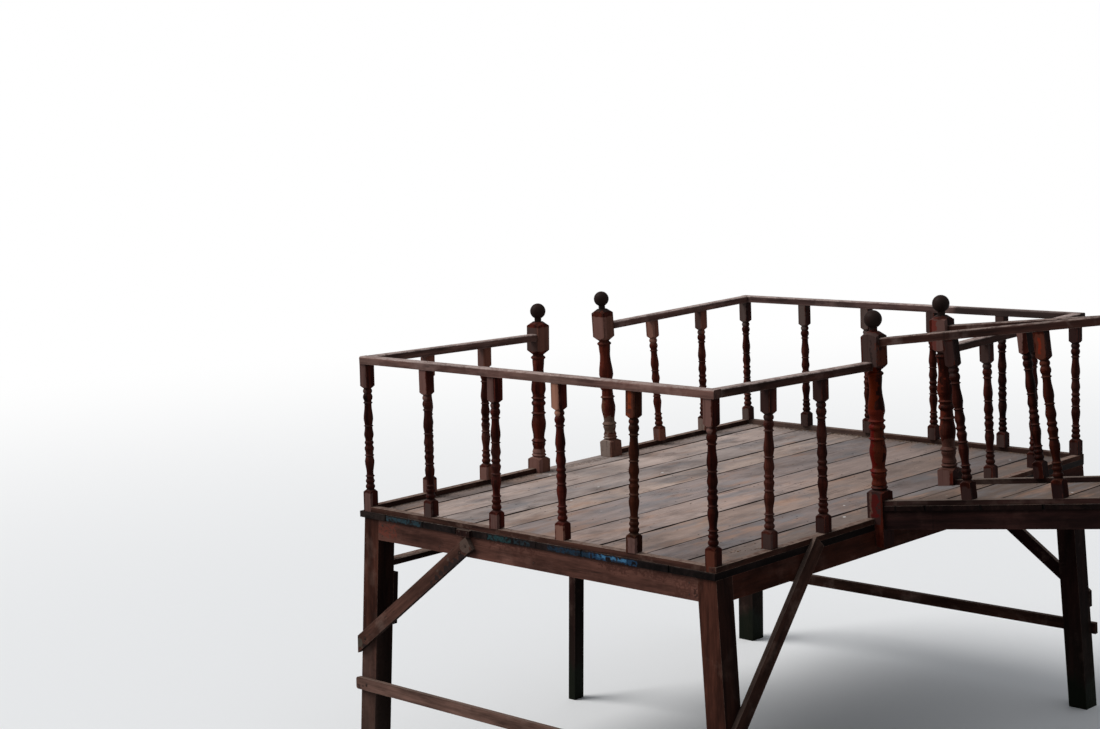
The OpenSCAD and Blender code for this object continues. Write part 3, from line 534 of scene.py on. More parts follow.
class Workshop:
    """Makes the materials and puts them on the timbers."""

    def __init__(self) -> None:
        """Starts with the shared effects and no material."""
        self.effects = Effects()

    def begin(self, name: str) -> tuple[bpy.types.Material, Graph, bpy.types.Node, bpy.types.NodeSocket]:
        """Starts a material.

        Args:
            name: Name of the material.

        Returns:
            The material, its nodes, its shader and the place in Object coordinates.
        """
        material = bpy.data.materials.new(name)
        material.use_nodes = True
        graph = Graph(material.node_tree)
        shader = graph.tree.nodes["Principled BSDF"]
        return material, graph, shader, graph.add("TexCoord").outputs["Object"]

    def timber(self, finish: Finish, trodden: bool = False) -> bpy.types.Material:
        """Makes the material of an old timber.

        Args:
            finish: The timber's finish.
            trodden: Whether it is a bare board that people walk on.

        Returns:
            The material.
        """
        material, graph, shader, place = self.begin(finish.name)
        turn = tuple(math.radians(angle) for angle in finish.grain.value)
        along = graph.add("Mapping", {"Vector": place, "Rotation": turn}).outputs[0]
        number, seam = None, None
        if finish.tints:
            number, seam = graph.count(place, finish.tints)
            along = graph.vector("ADD", along, graph.vector("MULTIPLY", graph.grey(number), GRAIN_STEP))
        grain = graph.use(self.effects.grain, Place=along)
        facing = graph.use(self.effects.facing, Place=place)
        edges = graph.use(self.effects.edges, Place=place)
        edge = graph.math("MAXIMUM", edges["Corner"],
                          graph.times(edges["Edge"], 0.35 if finish.turned else 1.0))
        grime_and_shade = graph.use(self.effects.grime_and_shade, Place=place)["Grime"]
        worn = graph.spread(graph.noise(along, 5.0, 4.0, 0.65), 0.62 - 0.24 * finish.wear,
                            0.78 - 0.2 * finish.wear)
        colour = graph.mix(grain["Streaks"], finish.deep, finish.main)
        colour = graph.varied(graph.cover(colour, worn, finish.wear, finish.bare), grain["Broad"], 0.5, 1.5)
        tops = graph.mix(grain["Streaks"], scaled(finish.sky, 0.88 if trodden else 0.6), finish.sky)
        if finish.tints:
            tint = graph.steps(number, finish.tints.tints)
            tops, colour = graph.tinted(tops, tint), graph.tinted(colour, tint)
        if trodden:
            tops = self.tread(graph, graph.varied(tops, grain["Broad"], 0.86, 1.14), along)
            width = graph.spread(graph.noise(place, 4.5, 2.0), 0.4, 0.62, *JOINT)
            joint = graph.math("SUBTRACT", 1.0, graph.math("DIVIDE", seam, width), clamp=True)
            tops = graph.mix(graph.spread(joint, 0.05, 0.45), tops, Tone.JOINT.value)
            colour = graph.mix(graph.spread(joint, 0.3, 0.5), colour, Tone.GAP.value)
        left = graph.spread(graph.noise(along, 21.0, 4.0, 0.7), 0.46, 0.6, finish.weathering,
                            finish.weathering * (1.0 - finish.blotch))
        sky = graph.times(facing["Sky"], left)
        # Painted shade: faces turned to the shore and undersides darken towards black where the stain is
        # left; faces turned to the sky take the weathered tops
        colour = graph.mix(sky, graph.cover(colour, facing["Shore"], finish.painted_shade, Tone.PAINTED_SHADE.value), tops)
        if not trodden:
            colour = graph.cover(colour, edge, finish.rub, finish.bare)
        colour = graph.varied(colour, grain["Fibres"], 0.78, 1.16)
        # Darkening where ambient occlusion finds near surfaces: partly settled dirt, partly painted shade in
        # grooves and corners
        colour = graph.cover(colour, grime_and_shade, finish.grime_and_shade, Tone.GRIME_AND_SHADE.value)
        for patch in finish.patches:
            mask = graph.use(self.effects.patch, Place=place, Centre=patch.centre, Half=patch.half,
                             Ragged=patch.ragged, Soft=patch.soft)["Mask"]
            held = graph.spread(grain["Streaks"], 0.0, 0.5, 0.55, 1.0)
            colour = graph.cover(colour, graph.times(mask, patch.strength), held, patch.colour)
        gap = graph.math("MAXIMUM", grain["Cracks"], graph.times(grain["Knots"], 0.6))
        colour = graph.cover(colour, gap, 0.75, Tone.CRACK.value)
        rough = graph.spread(grain["Fibres"], 0.0, 1.0, finish.rough - 0.1, finish.rough + 0.1)
        if finish.wet:
            water = graph.use(self.effects.waterline, Place=place)
            colour = graph.cover(colour, water["Damp"], 0.45, Tone.DAMP.value)
            colour = graph.cover(colour, water["Wet"], 0.9, Tone.WET.value)
            rough = graph.math("SUBTRACT", rough, graph.times(water["Wet"], 0.4))
        height = graph.math("ADD", graph.times(grain["Streaks"], 0.5), graph.times(grain["Fibres"], 0.35))
        height = graph.math("SUBTRACT", height, grain["Cracks"])
        height = graph.math("SUBTRACT", height, graph.times(edge, 0.6))
        graph.surface(shader, colour, rough, height, finish.relief / 1000.0, 0.75)
        shader.inputs["Specular IOR Level"].default_value = finish.gloss
        return material

    def tread(self, graph: Graph, colour: Feed, along: Feed) -> bpy.types.NodeSocket:
        """Marks bare boards that people walk on.

        Args:
            graph: The material's nodes.
            colour: Colour of the boards' tops.
            along: The place, turned so that the grain runs along X.

        Returns:
            The marked colour.
        """
        marks = graph.use(self.effects.trodden, Place=along)
        for mark, share, tone in (("Blue", 0.6, Tone.BLUE), ("Rust", 0.55, Tone.RUST),
                                  ("Bruises", 0.5, Tone.BRUISE), ("Specks", 1.0, Tone.SPECK),
                                  ("Pits", 0.8, Tone.PIT)):
            colour = graph.cover(colour, marks[mark], share, tone.value)
        return colour

    def iron(self) -> bpy.types.Material:
        """Makes the rusty iron of the nails."""
        material, graph, shader, place = self.begin("Rusty iron")
        spots = graph.spread(graph.noise(place, 160.0, 3.0), 0.35, 0.65)
        graph.surface(shader, graph.mix(spots, (0.012, 0.009, 0.008), (0.07, 0.028, 0.014)),
                      graph.spread(spots, 0.0, 1.0, 0.5, 0.85), spots, 0.0005, 0.5)
        shader.inputs["Metallic"].default_value = 0.3
        return material

    def litter(self) -> bpy.types.Material:
        """Makes the brown of dirt and rotten leaf crumbs."""
        material, graph, shader, place = self.begin("Dry litter")
        tone = graph.spread(graph.noise(place, 45.0, 2.0), 0.35, 0.65)
        graph.surface(shader, graph.mix(tone, (0.035, 0.02, 0.013), (0.16, 0.085, 0.045)),
                      graph.spread(tone, 0.0, 1.0, 0.8, 0.95), graph.noise(place, 300.0, 2.0), 0.001, 0.6)
        return material

    def dress(self, material: bpy.types.Material, *nodes: str) -> None:
        """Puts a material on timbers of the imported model.

        Args:
            material: The material.
            *nodes: Names of the timbers.
        """
        for name in nodes:
            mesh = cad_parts[name].data
            mesh.materials.clear()
            mesh.materials.append(material)
            LOG.info("%s: %s", name, material.name)


class Fixings:
    """Small things that lie on the timbers: nail heads and crumbs of litter."""

    def __init__(self, workshop: Workshop) -> None:
        """Takes the materials of the fixings from the workshop."""
        self.iron = workshop.iron()
        self.litter = workshop.litter()
        self.chance = random.Random(11)

    def finish(self, mesh: bmesh.types.BMesh, name: str, material: bpy.types.Material, slot: str) -> None:
        """Turns a mesh into a piece that rides on the jetty.

        Args:
            mesh: The piece's shape, in the frame.
            name: Name of the piece.
            material: Its material.
            slot: Not used.
        """
        bmesh.ops.recalc_face_normals(mesh, faces=mesh.faces)
        data = bpy.data.meshes.new(name)
        mesh.to_mesh(data)
        mesh.free()
        data.materials.append(material)
        piece = bpy.data.objects.new(name, data)
        bpy.context.scene.collection.objects.link(piece)
        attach(piece, "root")
        LOG.info("%s: %d faces", name, len(data.polygons))

    def nails(self, name: str, slot: str, heads: list[tuple[Place, Place]], radius: float = 0.0045) -> None:
        """Drives nails into the timbers, with low domed heads that lie flush.

        Args:
            name: Name of the piece.
            slot: Material slot that the piece goes with.
            heads: Middle of each head and the direction that it faces.
            radius: Radius of a head.
        """
        mesh = bmesh.new()
        for place, facing in heads:
            turn = Vector(UP).rotation_difference(Vector(facing)).to_matrix().to_4x4()
            there = Matrix.Translation(Vector(place)) @ turn
            low = Matrix.Translation((0.0, 0.0, -0.0012))
            ring = bmesh.ops.create_circle(mesh, cap_ends=True, segments=8, radius=radius,
                                           matrix=there @ low)["verts"]
            face = next(iter(ring[0].link_faces))
            for inward, rise in ((0.0, 0.0018), (radius * 0.45, 0.0006)):
                if inward:
                    bmesh.ops.inset_region(mesh, faces=[face], thickness=inward, depth=0.0)
                else:
                    grown = bmesh.ops.extrude_face_region(mesh, geom=[face])["geom"]
                    bmesh.ops.delete(mesh, geom=[face], context="FACES_ONLY")
                    face = next(part for part in grown if isinstance(part, bmesh.types.BMFace))
                bmesh.ops.translate(mesh, verts=face.verts[:], vec=turn @ Vector((0.0, 0.0, rise)))
        self.finish(mesh, name, self.iron, slot)

    def strike(self, node: str, way: Place, starts: list[Place]) -> list[tuple[Place, Place]]:
        """Finds where nails driven one way go into a timber.

        Args:
            node: Name of the timber.
            way: The direction in which they are driven.
            starts: Places outside the timber, from each of which one nail is driven.

        Returns:
            Middle of each head and the direction that it faces.
        """
        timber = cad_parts[node]
        corners = [timber.matrix_world @ corner.co for corner in timber.data.vertices]
        tree = BVHTree.FromPolygons(corners, [tuple(face.vertices) for face in timber.data.polygons])
        hits = [tree.ray_cast(Vector(start), Vector(way)) for start in starts]
        return [(tuple(place - 0.0003 * facing), tuple(facing)) for place, facing, _, _ in hits if place]

    def crumbs(self, name: str, runs: list[tuple[Place, Place, int]]) -> None:
        """Strews crumbs of dirt and old leaves along lines on the deck.

        Args:
            name: Name of the piece.
            runs: Start, end and number of crumbs of each line.
        """
        mesh = bmesh.new()
        for start, end, count in runs:
            for _ in range(count):
                place = Vector(start).lerp(Vector(end), self.chance.random())
                place.x += self.chance.gauss(0.0, 0.008)
                place.y += self.chance.gauss(0.0, 0.008)
                size = self.chance.uniform(0.003, 0.009)
                turn = Euler([self.chance.uniform(-0.4, 0.4), self.chance.uniform(-0.4, 0.4),
                              self.chance.uniform(0.0, 6.28)]).to_matrix().to_4x4()
                shape = Matrix.Diagonal((1.0, self.chance.uniform(0.4, 0.9), self.chance.uniform(0.2, 0.4),
                                         1.0))
                made = bmesh.ops.create_icosphere(mesh, subdivisions=1, radius=size,
                                                  matrix=Matrix.Translation(place) @ turn @ shape)["verts"]
                for corner in made:
                    corner.co += Vector([self.chance.uniform(-0.2, 0.2) * size for _ in range(3)])
        self.finish(mesh, name, self.litter, "deck_timber")


RED = Finish("Turned mahogany stain", Grain.UPRIGHT, (0.012, 0.0022, 0.0012), (0.098, 0.0155, 0.0085),
             (0.18, 0.055, 0.036), (0.10, 0.040, 0.030), weathering=0.3, painted_shade=0.6, wear=0.35, rough=0.5,
             relief=0.7, grime_and_shade=0.9, rub=0.8, gloss=0.045, turned=True)
# These three get their stain from Finish.stained, of which deep is the share in the lines of the grain
BEAM = Finish("Beam stain", Grain.LONG, (0.6, 0.6, 0.6), (1.0, 1.0, 1.0), (0.22, 0.105, 0.08),
              (0.22, 0.15, 0.12), weathering=0.6, wear=0.4, rough=0.7, relief=1.4, grime_and_shade=0.6)
LEG = Finish("Leg stain", Grain.UPRIGHT, (0.35, 0.35, 0.35), (1.0, 1.0, 1.0), (0.19, 0.12, 0.095),
             (0.2, 0.15, 0.12), weathering=0.5, wear=0.35, rough=0.7, relief=1.5, grime_and_shade=0.6, wet=True)
BRACE = Finish("Brace stain", Grain.LONG, (0.4, 0.4, 0.4), (1.0, 1.0, 1.0), (0.24, 0.16, 0.13),
               (0.24, 0.17, 0.14), weathering=0.7, wear=0.4, rough=0.75, relief=1.3, grime_and_shade=0.5)


@dataclass
class Assembly:
    """A part of the jetty that is dressed in one go.

    Attributes:
        workshop: Makes the materials.
        fixings: Makes the nails and crumbs.
    """

    workshop: Workshop
    fixings: Fixings

    def coat(self, finish: Finish, *nodes: str, trodden: bool = False) -> None:
        """Puts a finish on timbers, of which trodden ones are bare boards that people walk on."""
        self.workshop.dress(self.workshop.timber(finish, trodden), *nodes)


@dataclass
class Platform(Assembly):
    """The deck, its frame of beams and its kerbs.

    Attributes:
        joints: Where one deck board ends and the next starts, from the lake balusters.
        ends: Outer edges of the first and the last board.
        supports: Where joists and edge beams carry the boards, from the near balusters.
        near_edge: The near ends of the boards.
        kerb_top: Top of the kerbs above the deck.
    """

    joints: tuple[float, ...] = (0.1642, 0.4830, 0.7620, 1.0110, 1.3897, 1.7284, 2.0572, 2.3361)
    ends: tuple[float, float] = (-0.065, 2.635)
    supports: tuple[float, ...] = (-0.01, 0.59, 1.18, 1.77, 2.36, 2.95, 3.55)
    near_edge: float = -0.045
    kerb_top: float = 0.03

    def board_finish(self) -> Finish:
        """Returns the finish of the deck boards, with their tints, dirt, broad darker and paler areas and old
        paint on the near ends.
        """
        paint = tuple(
            Patch(at((low + high) / 2, self.near_edge, -0.018 + drop), ((high - low) / 2, 0.004, tall),
                  colour, strength, 0.010)
            for low, high, drop, tall, colour, strength in (
                (0.17, 0.47, 0.002, 0.014, (0.028, 0.06, 0.075), 0.9),
                (1.02, 1.20, 0.0, 0.014, (0.022, 0.065, 0.07), 0.8),
                (1.22, 1.34, 0.0, 0.012, (0.03, 0.06, 0.075), 0.6),
                (1.48, 1.78, 0.0, 0.014, (0.014, 0.035, 0.06), 0.9),
                (1.78, 2.12, 0.0, 0.014, (0.02, 0.06, 0.12), 0.95),
                (1.84, 2.04, 0.004, 0.007, (0.08, 0.24, 0.42), 0.7)))
        soil, far_dark = Tone.SOIL.value, Tone.FAR_DARK.value
        # Dirt along the kerbs; the first two patches darken the deck towards the far shore corner and along
        # the far edge, the next two make it paler at the boat opening and darker along the lake edge
        dirt = tuple(
            Patch(at(x, y), (long, wide, 0.01), colour, strength, ragged, soft)
            for x, y, long, wide, colour, strength, ragged, soft in (
                (2.6, 3.6, 1.3, 1.1, far_dark, 0.78, 0.05, 1.1), (1.75, 3.62, 1.45, 0.15, far_dark, 0.6, 0.03, 0.35),
                (0.15, 1.72, 0.25, 0.32, (0.48, 0.40, 0.36), 0.55, 0.03, 0.12),
                (0.03, 0.55, 0.12, 0.70, (0.07, 0.050, 0.042), 0.6, 0.03, 0.08),
                (1.3, 3.53, 1.3, 0.05, soil, 0.75, 0.035, 0.004),
                (0.8, 3.45, 0.7, 0.07, soil, 0.4, 0.07, 0.004),
                (2.56, 1.8, 0.04, 1.8, soil, 0.55, 0.03, 0.004),
                (0.03, 1.8, 0.035, 1.8, soil, 0.6, 0.025, 0.004),
                (1.3, 0.03, 1.3, 0.03, soil, 0.5, 0.02, 0.004)))
        ledge = Patch(at(1.28, -0.039), (1.4, 0.013, 0.004), Tone.JOINT.value, 0.95, 0.003)
        tints = ((0.78, 0.76, 0.75), (1.28, 1.26, 1.24), (1.04, 1.07, 1.09), (1.21, 1.16, 1.10),
                 (0.86, 0.87, 0.90), (1.07, 1.02, 1.0), (0.90, 0.83, 0.78), (0.60, 0.60, 0.62),
                 (0.58, 0.56, 0.54))
        row = Tints(tuple(x - MIDDLE.x for x in self.joints), tuple(scaled(tint, 0.88) for tint in tints),
                    gaping=(0, 2, 5, 7))
        return Finish("Trodden deck boards", Grain.ACROSS, (0.008, 0.006, 0.006), (0.022, 0.014, 0.013),
                      (0.06, 0.045, 0.04), (0.46, 0.37, 0.335), weathering=1.0, painted_shade=0.3, wear=0.3,
                      rough=0.8, relief=1.3, grime_and_shade=0.55, blotch=0.0, tints=row,
                      patches=(*paint, *dirt, ledge))

    def build(self) -> None:
        """Dresses the timbers of the platform and drives its nails."""
        self.coat(self.board_finish(), "deck_planks", trodden=True)
        dirt = (0.008, 0.005, 0.005)
        stains = tuple(
            Patch(at(x, -0.038, z), (half, 0.01, tall), colour, strength, 0.03)
            for x, z, half, tall, colour, strength in (
                (0.15, -0.09, 0.10, 0.035, (0.17, 0.040, 0.026), 0.6),
                (1.20, -0.055, 0.20, 0.015, (0.06, 0.022, 0.016), 0.6),
                (2.10, -0.06, 0.25, 0.020, (0.05, 0.018, 0.013), 0.6),
                (2.42, -0.10, 0.06, 0.060, (0.055, 0.020, 0.014), 0.5),
                (0.615, -0.127, 0.006, 0.010, dirt, 0.5), (1.36, -0.122, 0.006, 0.008, dirt, 0.5),
                (2.51, -0.12, 0.010, 0.035, (0.012, 0.007, 0.006), 0.7)))
        self.coat(BEAM.stained("Near beam stain", Grain.LONG, (0.118, 0.050, 0.037), patches=stains),
                  "near_beam")
        self.coat(BEAM.stained("Side beam stain", Grain.ACROSS, (0.095, 0.026, 0.015), 0.55),
                  "shore_beam", "lake_beam")
        self.coat(BEAM.stained("Joist stain", Grain.LONG, (0.09, 0.042, 0.032), 0.4), "far_beam")
        self.coat(BEAM.stained("Cross joist stain", Grain.LONG, (0.08, 0.05, 0.04), 0.4), "joists")
        kerb = Finish("Long kerb stain", Grain.LONG, (0.022, 0.009, 0.007), (0.085, 0.036, 0.025),
                      (0.30, 0.20, 0.155), (0.27, 0.19, 0.155), weathering=0.95, painted_shade=0.5, wear=0.35,
                      rough=0.75, relief=1.2, grime_and_shade=0.5, rub=0.6, blotch=0.6)
        far = tuple(Patch(at(x, 3.55), (half, 0.06, 0.06), colour, strength, 0.02, 0.12)
                    for x, half, colour, strength in (
                        (0.45, 0.6, (0.15, 0.105, 0.088), 0.75), (1.95, 0.75, (0.026, 0.015, 0.012), 0.7)))
        self.coat(kerb, "near_kerb")
        self.coat(replace(kerb, name="Far kerb stain", patches=far), "far_kerb")
        self.coat(replace(kerb, name="Cross kerb stain", grain=Grain.ACROSS, main=(0.115, 0.044, 0.029)),
                  "lake_kerbs", "shore_kerbs", "lake_step", "gangway_sill")
        self.nail()

    def nail(self) -> None:
        """Nails the boards to the joists and the kerbs to the boards, and strews litter along the kerbs."""
        chance = self.fixings.chance
        rows = [self.ends[0], *self.joints, self.ends[1]]
        heads = []
        for low, high in zip(rows, rows[1:]):
            for y in self.supports:
                for x in (low + 0.05, high - 0.055):
                    shift = chance.uniform(-0.012, 0.012)
                    if 0.02 < y < 3.52 and 0.02 < x < 2.58:
                        heads.append((at(x + shift, y + chance.uniform(-0.01, 0.01)), UP))
        self.fixings.nails("deck_nails", "deck_timber", heads)
        heads = [(at(0.15 + 0.34 * i, y, self.kerb_top), UP)
                 for y, count in ((-0.0125, 7), (3.5525, 8)) for i in range(count)]
        heads += [(at(x, y, self.kerb_top), UP) for x in (-0.0125, 2.6125)
                  for y in (0.2, 0.62, 1.1, 2.3, 2.75, 3.2)]
        self.fixings.nails("kerb_nails", "beam_timber", heads)
        self.fixings.crumbs("litter", [
            (at(0.1, 3.52), at(2.5, 3.52), 260), (at(0.3, 3.50), at(1.6, 3.50), 120),
            (at(2.57, 0.1), at(2.57, 1.2), 60), (at(0.03, 0.1), at(0.03, 1.3), 70),
            (at(0.1, 0.05), at(2.5, 0.05), 70), (at(2.4, 0.35), at(2.5, 0.55), 25)])


@dataclass
class Understructure(Assembly):
    """The legs, ties and braces.

    Attributes:
        front_leg: Stain of the near legs.
        back_leg: Stain of the other legs.
        near_tie: Stain of the tie on the near side.
        back_tie: Stain of the far tie and the shore brace.
    """

    front_leg: Colour = (0.079, 0.027, 0.0175)
    back_leg: Colour = (0.030, 0.011, 0.009)
    near_tie: Colour = (0.18, 0.10, 0.078)
    back_tie: Colour = (0.07, 0.03, 0.021)

    def build(self) -> None:
        """Dresses the legs, ties and braces and drives their nails."""
        foot = (Patch(at(-0.07, -0.12, -1.05), (0.10, 0.05, 0.28), (0.16, 0.095, 0.078), 0.7, 0.02, 0.12),
                Patch(at(0.06, -0.01, -1.05), (0.05, 0.06, 0.45), (0.008, 0.004, 0.003), 0.6, 0.01, 0.02))
        self.coat(LEG.stained("Front leg stain", Grain.UPRIGHT, self.front_leg, 0.71, foot),
                  "lake_near_leg", "shore_near_leg")
        self.coat(LEG.stained("Back leg stain", Grain.UPRIGHT, self.back_leg), "lake_far_leg",
                  "shore_far_leg", "lake_middle_leg", "gangway_near_leg", "gangway_far_leg", "cleats")
        rot, grey, mark = Tone.ROT.value, Tone.GREY.value, Tone.NAIL_MARK.value
        marks = (Patch(at(-0.015, -0.107, -1.041), (0.007, 0.01, 0.009), mark, 0.85, 0.004),
                 Patch(at(-0.085, -0.107, -1.06), (0.012, 0.02, 0.012), rot, 0.6, 0.01))
        self.coat(BRACE.stained("Near tie stain", Grain.LONG, self.near_tie, patches=marks), "near_tie")
        self.coat(BRACE.stained("Far tie stain", Grain.LONG, self.back_tie), "far_tie")
        self.coat(BRACE.stained("Near brace stain", Grain.NEAR_BRACE, (0.10, 0.045, 0.033), patches=tuple(
            Patch(at(x, -0.09, z), (half, 0.04, half), colour, 0.85, ragged)
            for x, z, half, colour, ragged in (
                (0.85, -0.08, 0.042, grey, 0.02), (0.807, -0.134, 0.010, mark, 0.005),
                (0.852, -0.088, 0.008, mark, 0.005), (0.815, -0.165, 0.022, rot, 0.012),
                (0.775, -0.19, 0.022, rot, 0.012), (0.735, -0.215, 0.020, rot, 0.012),
                (0.695, -0.245, 0.020, rot, 0.012), (0.655, -0.27, 0.017, rot, 0.012),
                (0.615, -0.30, 0.014, rot, 0.01), (0.57, -0.335, 0.010, rot, 0.01),
                (0.71, -0.185, 0.009, grey, 0.01), (0.62, -0.262, 0.008, grey, 0.01),
                (-0.075, -0.79, 0.028, (0.080, 0.072, 0.056), 0.015), (-0.03, -0.805, 0.014, rot, 0.01),
                (-0.022, -0.758, 0.009, mark, 0.004), (-0.095, -0.755, 0.012, rot, 0.006)))), "near_brace")
        self.coat(BRACE.stained("Far brace stain", Grain.FAR_BRACE, (0.028, 0.008, 0.007)), "far_brace")
        self.coat(BRACE.stained("Shore brace stain", Grain.SHORE_BRACE, self.back_tie, 0.3), "shore_brace")
        self.nail()

    def nail(self) -> None:
        """Drives nails into the ties, braces and the near beam."""
        away = (0.0, 1.0, 0.0)
        rows = {
            "near_brace": ((-0.022, -0.755), (0.02, -0.725), (-0.03, -0.775), (0.807, -0.134),
                           (0.852, -0.088)),
            "near_tie": ((-0.015, -1.035), (-0.05, -1.05), (2.62, -1.05), (2.66, -1.065)),
            "cleats": ((0.81, -0.01), (0.87, -0.01)),
            "near_beam": ((0.12, -0.07), (0.12, -0.13), (2.46, -0.07), (2.46, -0.13), (0.615, -0.125),
                          (1.36, -0.12)),
        }
        heads = {node: self.fixings.strike(node, away, [at(x, -1.0, z) for x, z in row])
                 for node, row in rows.items()}
        shore = self.fixings.strike("shore_brace", (-1.0, 0.0, 0.0), [at(3.2, y, z) for y, z in (
            (0.0, -0.87), (0.03, -0.84), (0.76, -0.09), (0.79, -0.06))])
        self.fixings.nails("brace_nails", "brace_timber",
                           heads["near_brace"] + heads["near_tie"] + heads["cleats"] + shore, 0.006)
        self.fixings.nails("beam_nails", "beam_timber", heads["near_beam"], 0.005)


class Worn(Enum):
    """Linear colours that the near faces of a post's blocks have faded to, from the palest to the darkest."""

    BUFF = (0.39, 0.185, 0.125)
    PALE = (0.245, 0.190, 0.163)
    TAN = (0.23, 0.112, 0.082)
    ROSE = (0.185, 0.093, 0.077)
    CLAY = (0.138, 0.074, 0.063)
    STONE = (0.112, 0.080, 0.070)
    RUST = (0.095, 0.027, 0.016)
    BARK = (0.066, 0.041, 0.036)
    SOOT = (0.038, 0.019, 0.017)


@dataclass(frozen=True)
class Post:
    """A turned post on the platform.

    Attributes:
        x: Middle of the post along the platform.
        y: Middle of the post across it.
        upper: What the near face of its upper block has faded to.
        lower: What that of its lower block has faded to.
        tint: Tint of the whole post.
    """

    x: float
    y: float
    upper: Worn
    lower: Worn
    tint: Colour = (0.75, 0.9, 1.0)


@dataclass
class Railings(Assembly):
    """The turned balusters, the newels with balls and the rails of the platform.

    Attributes:
        fade: How much of the stain has gone from the near faces of the blocks.
        ball: Colour of the newels' balls.
        far: The line of the far balusters.
        shore: The line of the shore balusters.
        boat_newels: Middles of the newels at the boat opening.
        gangway_newels: Middles of the newels at the gangway.
    """

    fade: float = 0.92
    ball: Colour = (0.020, 0.0135, 0.0115)
    far: float = 3.54
    shore: float = 2.6
    boat_newels: tuple[float, float] = (1.425, 2.063)
    gangway_newels: tuple[float, float] = (1.361, 2.035)

    def row(self, name: str, posts: tuple[Post, ...], painted_shade: float = 0.45, around: Colour | None = None,
            half: float = 0.03, upper: tuple[float, float] = (0.70, 0.92), lower: float = 0.11,
            marks: tuple[Patch, ...] = ()) -> Finish:
        """Returns the finish of a row of turned posts.

        Args:
            name: Name of the material.
            posts: The posts, in the order in which they stand.
            painted_shade: Painted shade on their shore side and undersides.
            around: Colour of all sides of the blocks, if they differ from the rest.
            half: Half the width of a post.
            upper: Lower and upper end of the upper blocks.
            lower: Upper end of the lower blocks.
            marks: More places with another colour.

        Returns:
            The finish.
        """
        axis = 0 if posts[0].x != posts[-1].x else 1
        places = [at(post.x, post.y)[axis] for post in posts]
        edges = tuple((low + high) / 2 for low, high in zip(places, places[1:]))
        patches = []
        for post in posts:
            for low, high, face in ((*upper, post.upper), (0.0, lower, post.lower)):
                middle, tall = (low + high) / 2, (high - low) / 2
                if around:
                    patches.append(Patch(at(post.x, post.y, middle), (2 * half, 2 * half, tall), around, 0.8,
                                         0.006))
                patches.append(Patch(at(post.x, post.y - half, middle), (0.9 * half, 0.4 * half, tall),
                                     face.value, self.fade, 0.004))
        return replace(RED, name=name, tints=Tints(edges, tuple(post.tint for post in posts), axis),
                       patches=(*patches, *marks), painted_shade=painted_shade)

    def build(self) -> None:
        """Dresses the posts and rails and nails the rails down."""
        self.build_balusters()
        self.build_newels()
        self.build_rails()
        heads = [(at(0.52 * i + 0.018, y, 0.92), UP) for y in (0.004, self.far - 0.004) for i in range(6)]
        self.fixings.nails("rail_nails", "rail_timber", heads, 0.004)

    def build_balusters(self) -> None:
        """Dresses the balusters, each with its own tint and faded blocks."""
        near = (Post(0.0, 0.0, Worn.CLAY, Worn.CLAY), Post(0.52, 0.0, Worn.ROSE, Worn.BARK),
                Post(1.065, 0.0, Worn.CLAY, Worn.CLAY, (0.95, 0.9, 1.0)),
                Post(1.56, 0.0, Worn.BUFF, Worn.TAN, (0.95, 0.9, 1.0)),
                Post(2.08, 0.0, Worn.RUST, Worn.CLAY, (0.85, 1.25, 1.0)),
                Post(self.shore, 0.0, Worn.ROSE, Worn.RUST, (0.6, 0.45, 0.35)))
        streak = (Patch(at(2.085, -0.03, 0.83), (0.010, 0.012, 0.05), (0.26, 0.045, 0.012), 0.85, 0.006),
                  Patch(at(2.075, -0.03, 0.74), (0.016, 0.012, 0.02), (0.20, 0.045, 0.022), 0.7, 0.006))
        far = (Post(0.0, self.far, Worn.STONE, Worn.STONE, (0.9, 1.1, 1.2)),
               *(Post(x, self.far, upper, lower) for x, upper, lower in (
                   (0.52, Worn.STONE, Worn.BARK), (1.04, Worn.STONE, Worn.BARK), (1.56, Worn.BARK, Worn.BARK),
                   (2.08, Worn.BARK, Worn.BARK), (self.shore, Worn.SOOT, Worn.SOOT))))
        lake = tuple(Post(0.0, y, upper, lower, tint) for y, upper, lower, tint in (
            (0.475, Worn.CLAY, Worn.CLAY, (1.1, 1.4, 1.5)), (0.95, Worn.CLAY, Worn.ROSE, (1.1, 1.4, 1.5)),
            (2.555, Worn.TAN, Worn.CLAY, (1.0, 1.2, 1.2)), (3.048, Worn.BARK, Worn.PALE, (1.0, 1.2, 1.2))))
        shore = (Post(self.shore, 0.454, Worn.SOOT, Worn.BARK, (1.2, 2.0, 2.4)),
                 Post(self.shore, 0.907, Worn.SOOT, Worn.SOOT), Post(self.shore, 2.537, Worn.BARK, Worn.BARK),
                 Post(self.shore, 3.038, Worn.SOOT, Worn.SOOT))
        self.coat(self.row("Near baluster stain", near, 0.15, marks=streak), "near_balusters")
        self.coat(self.row("Far baluster stain", far), "far_balusters")
        self.coat(self.row("Lake baluster stain", lake, 0.1, (0.17, 0.068, 0.046)), "lake_balusters")
        self.coat(self.row("Shore baluster stain", shore, 0.2), "shore_balusters")

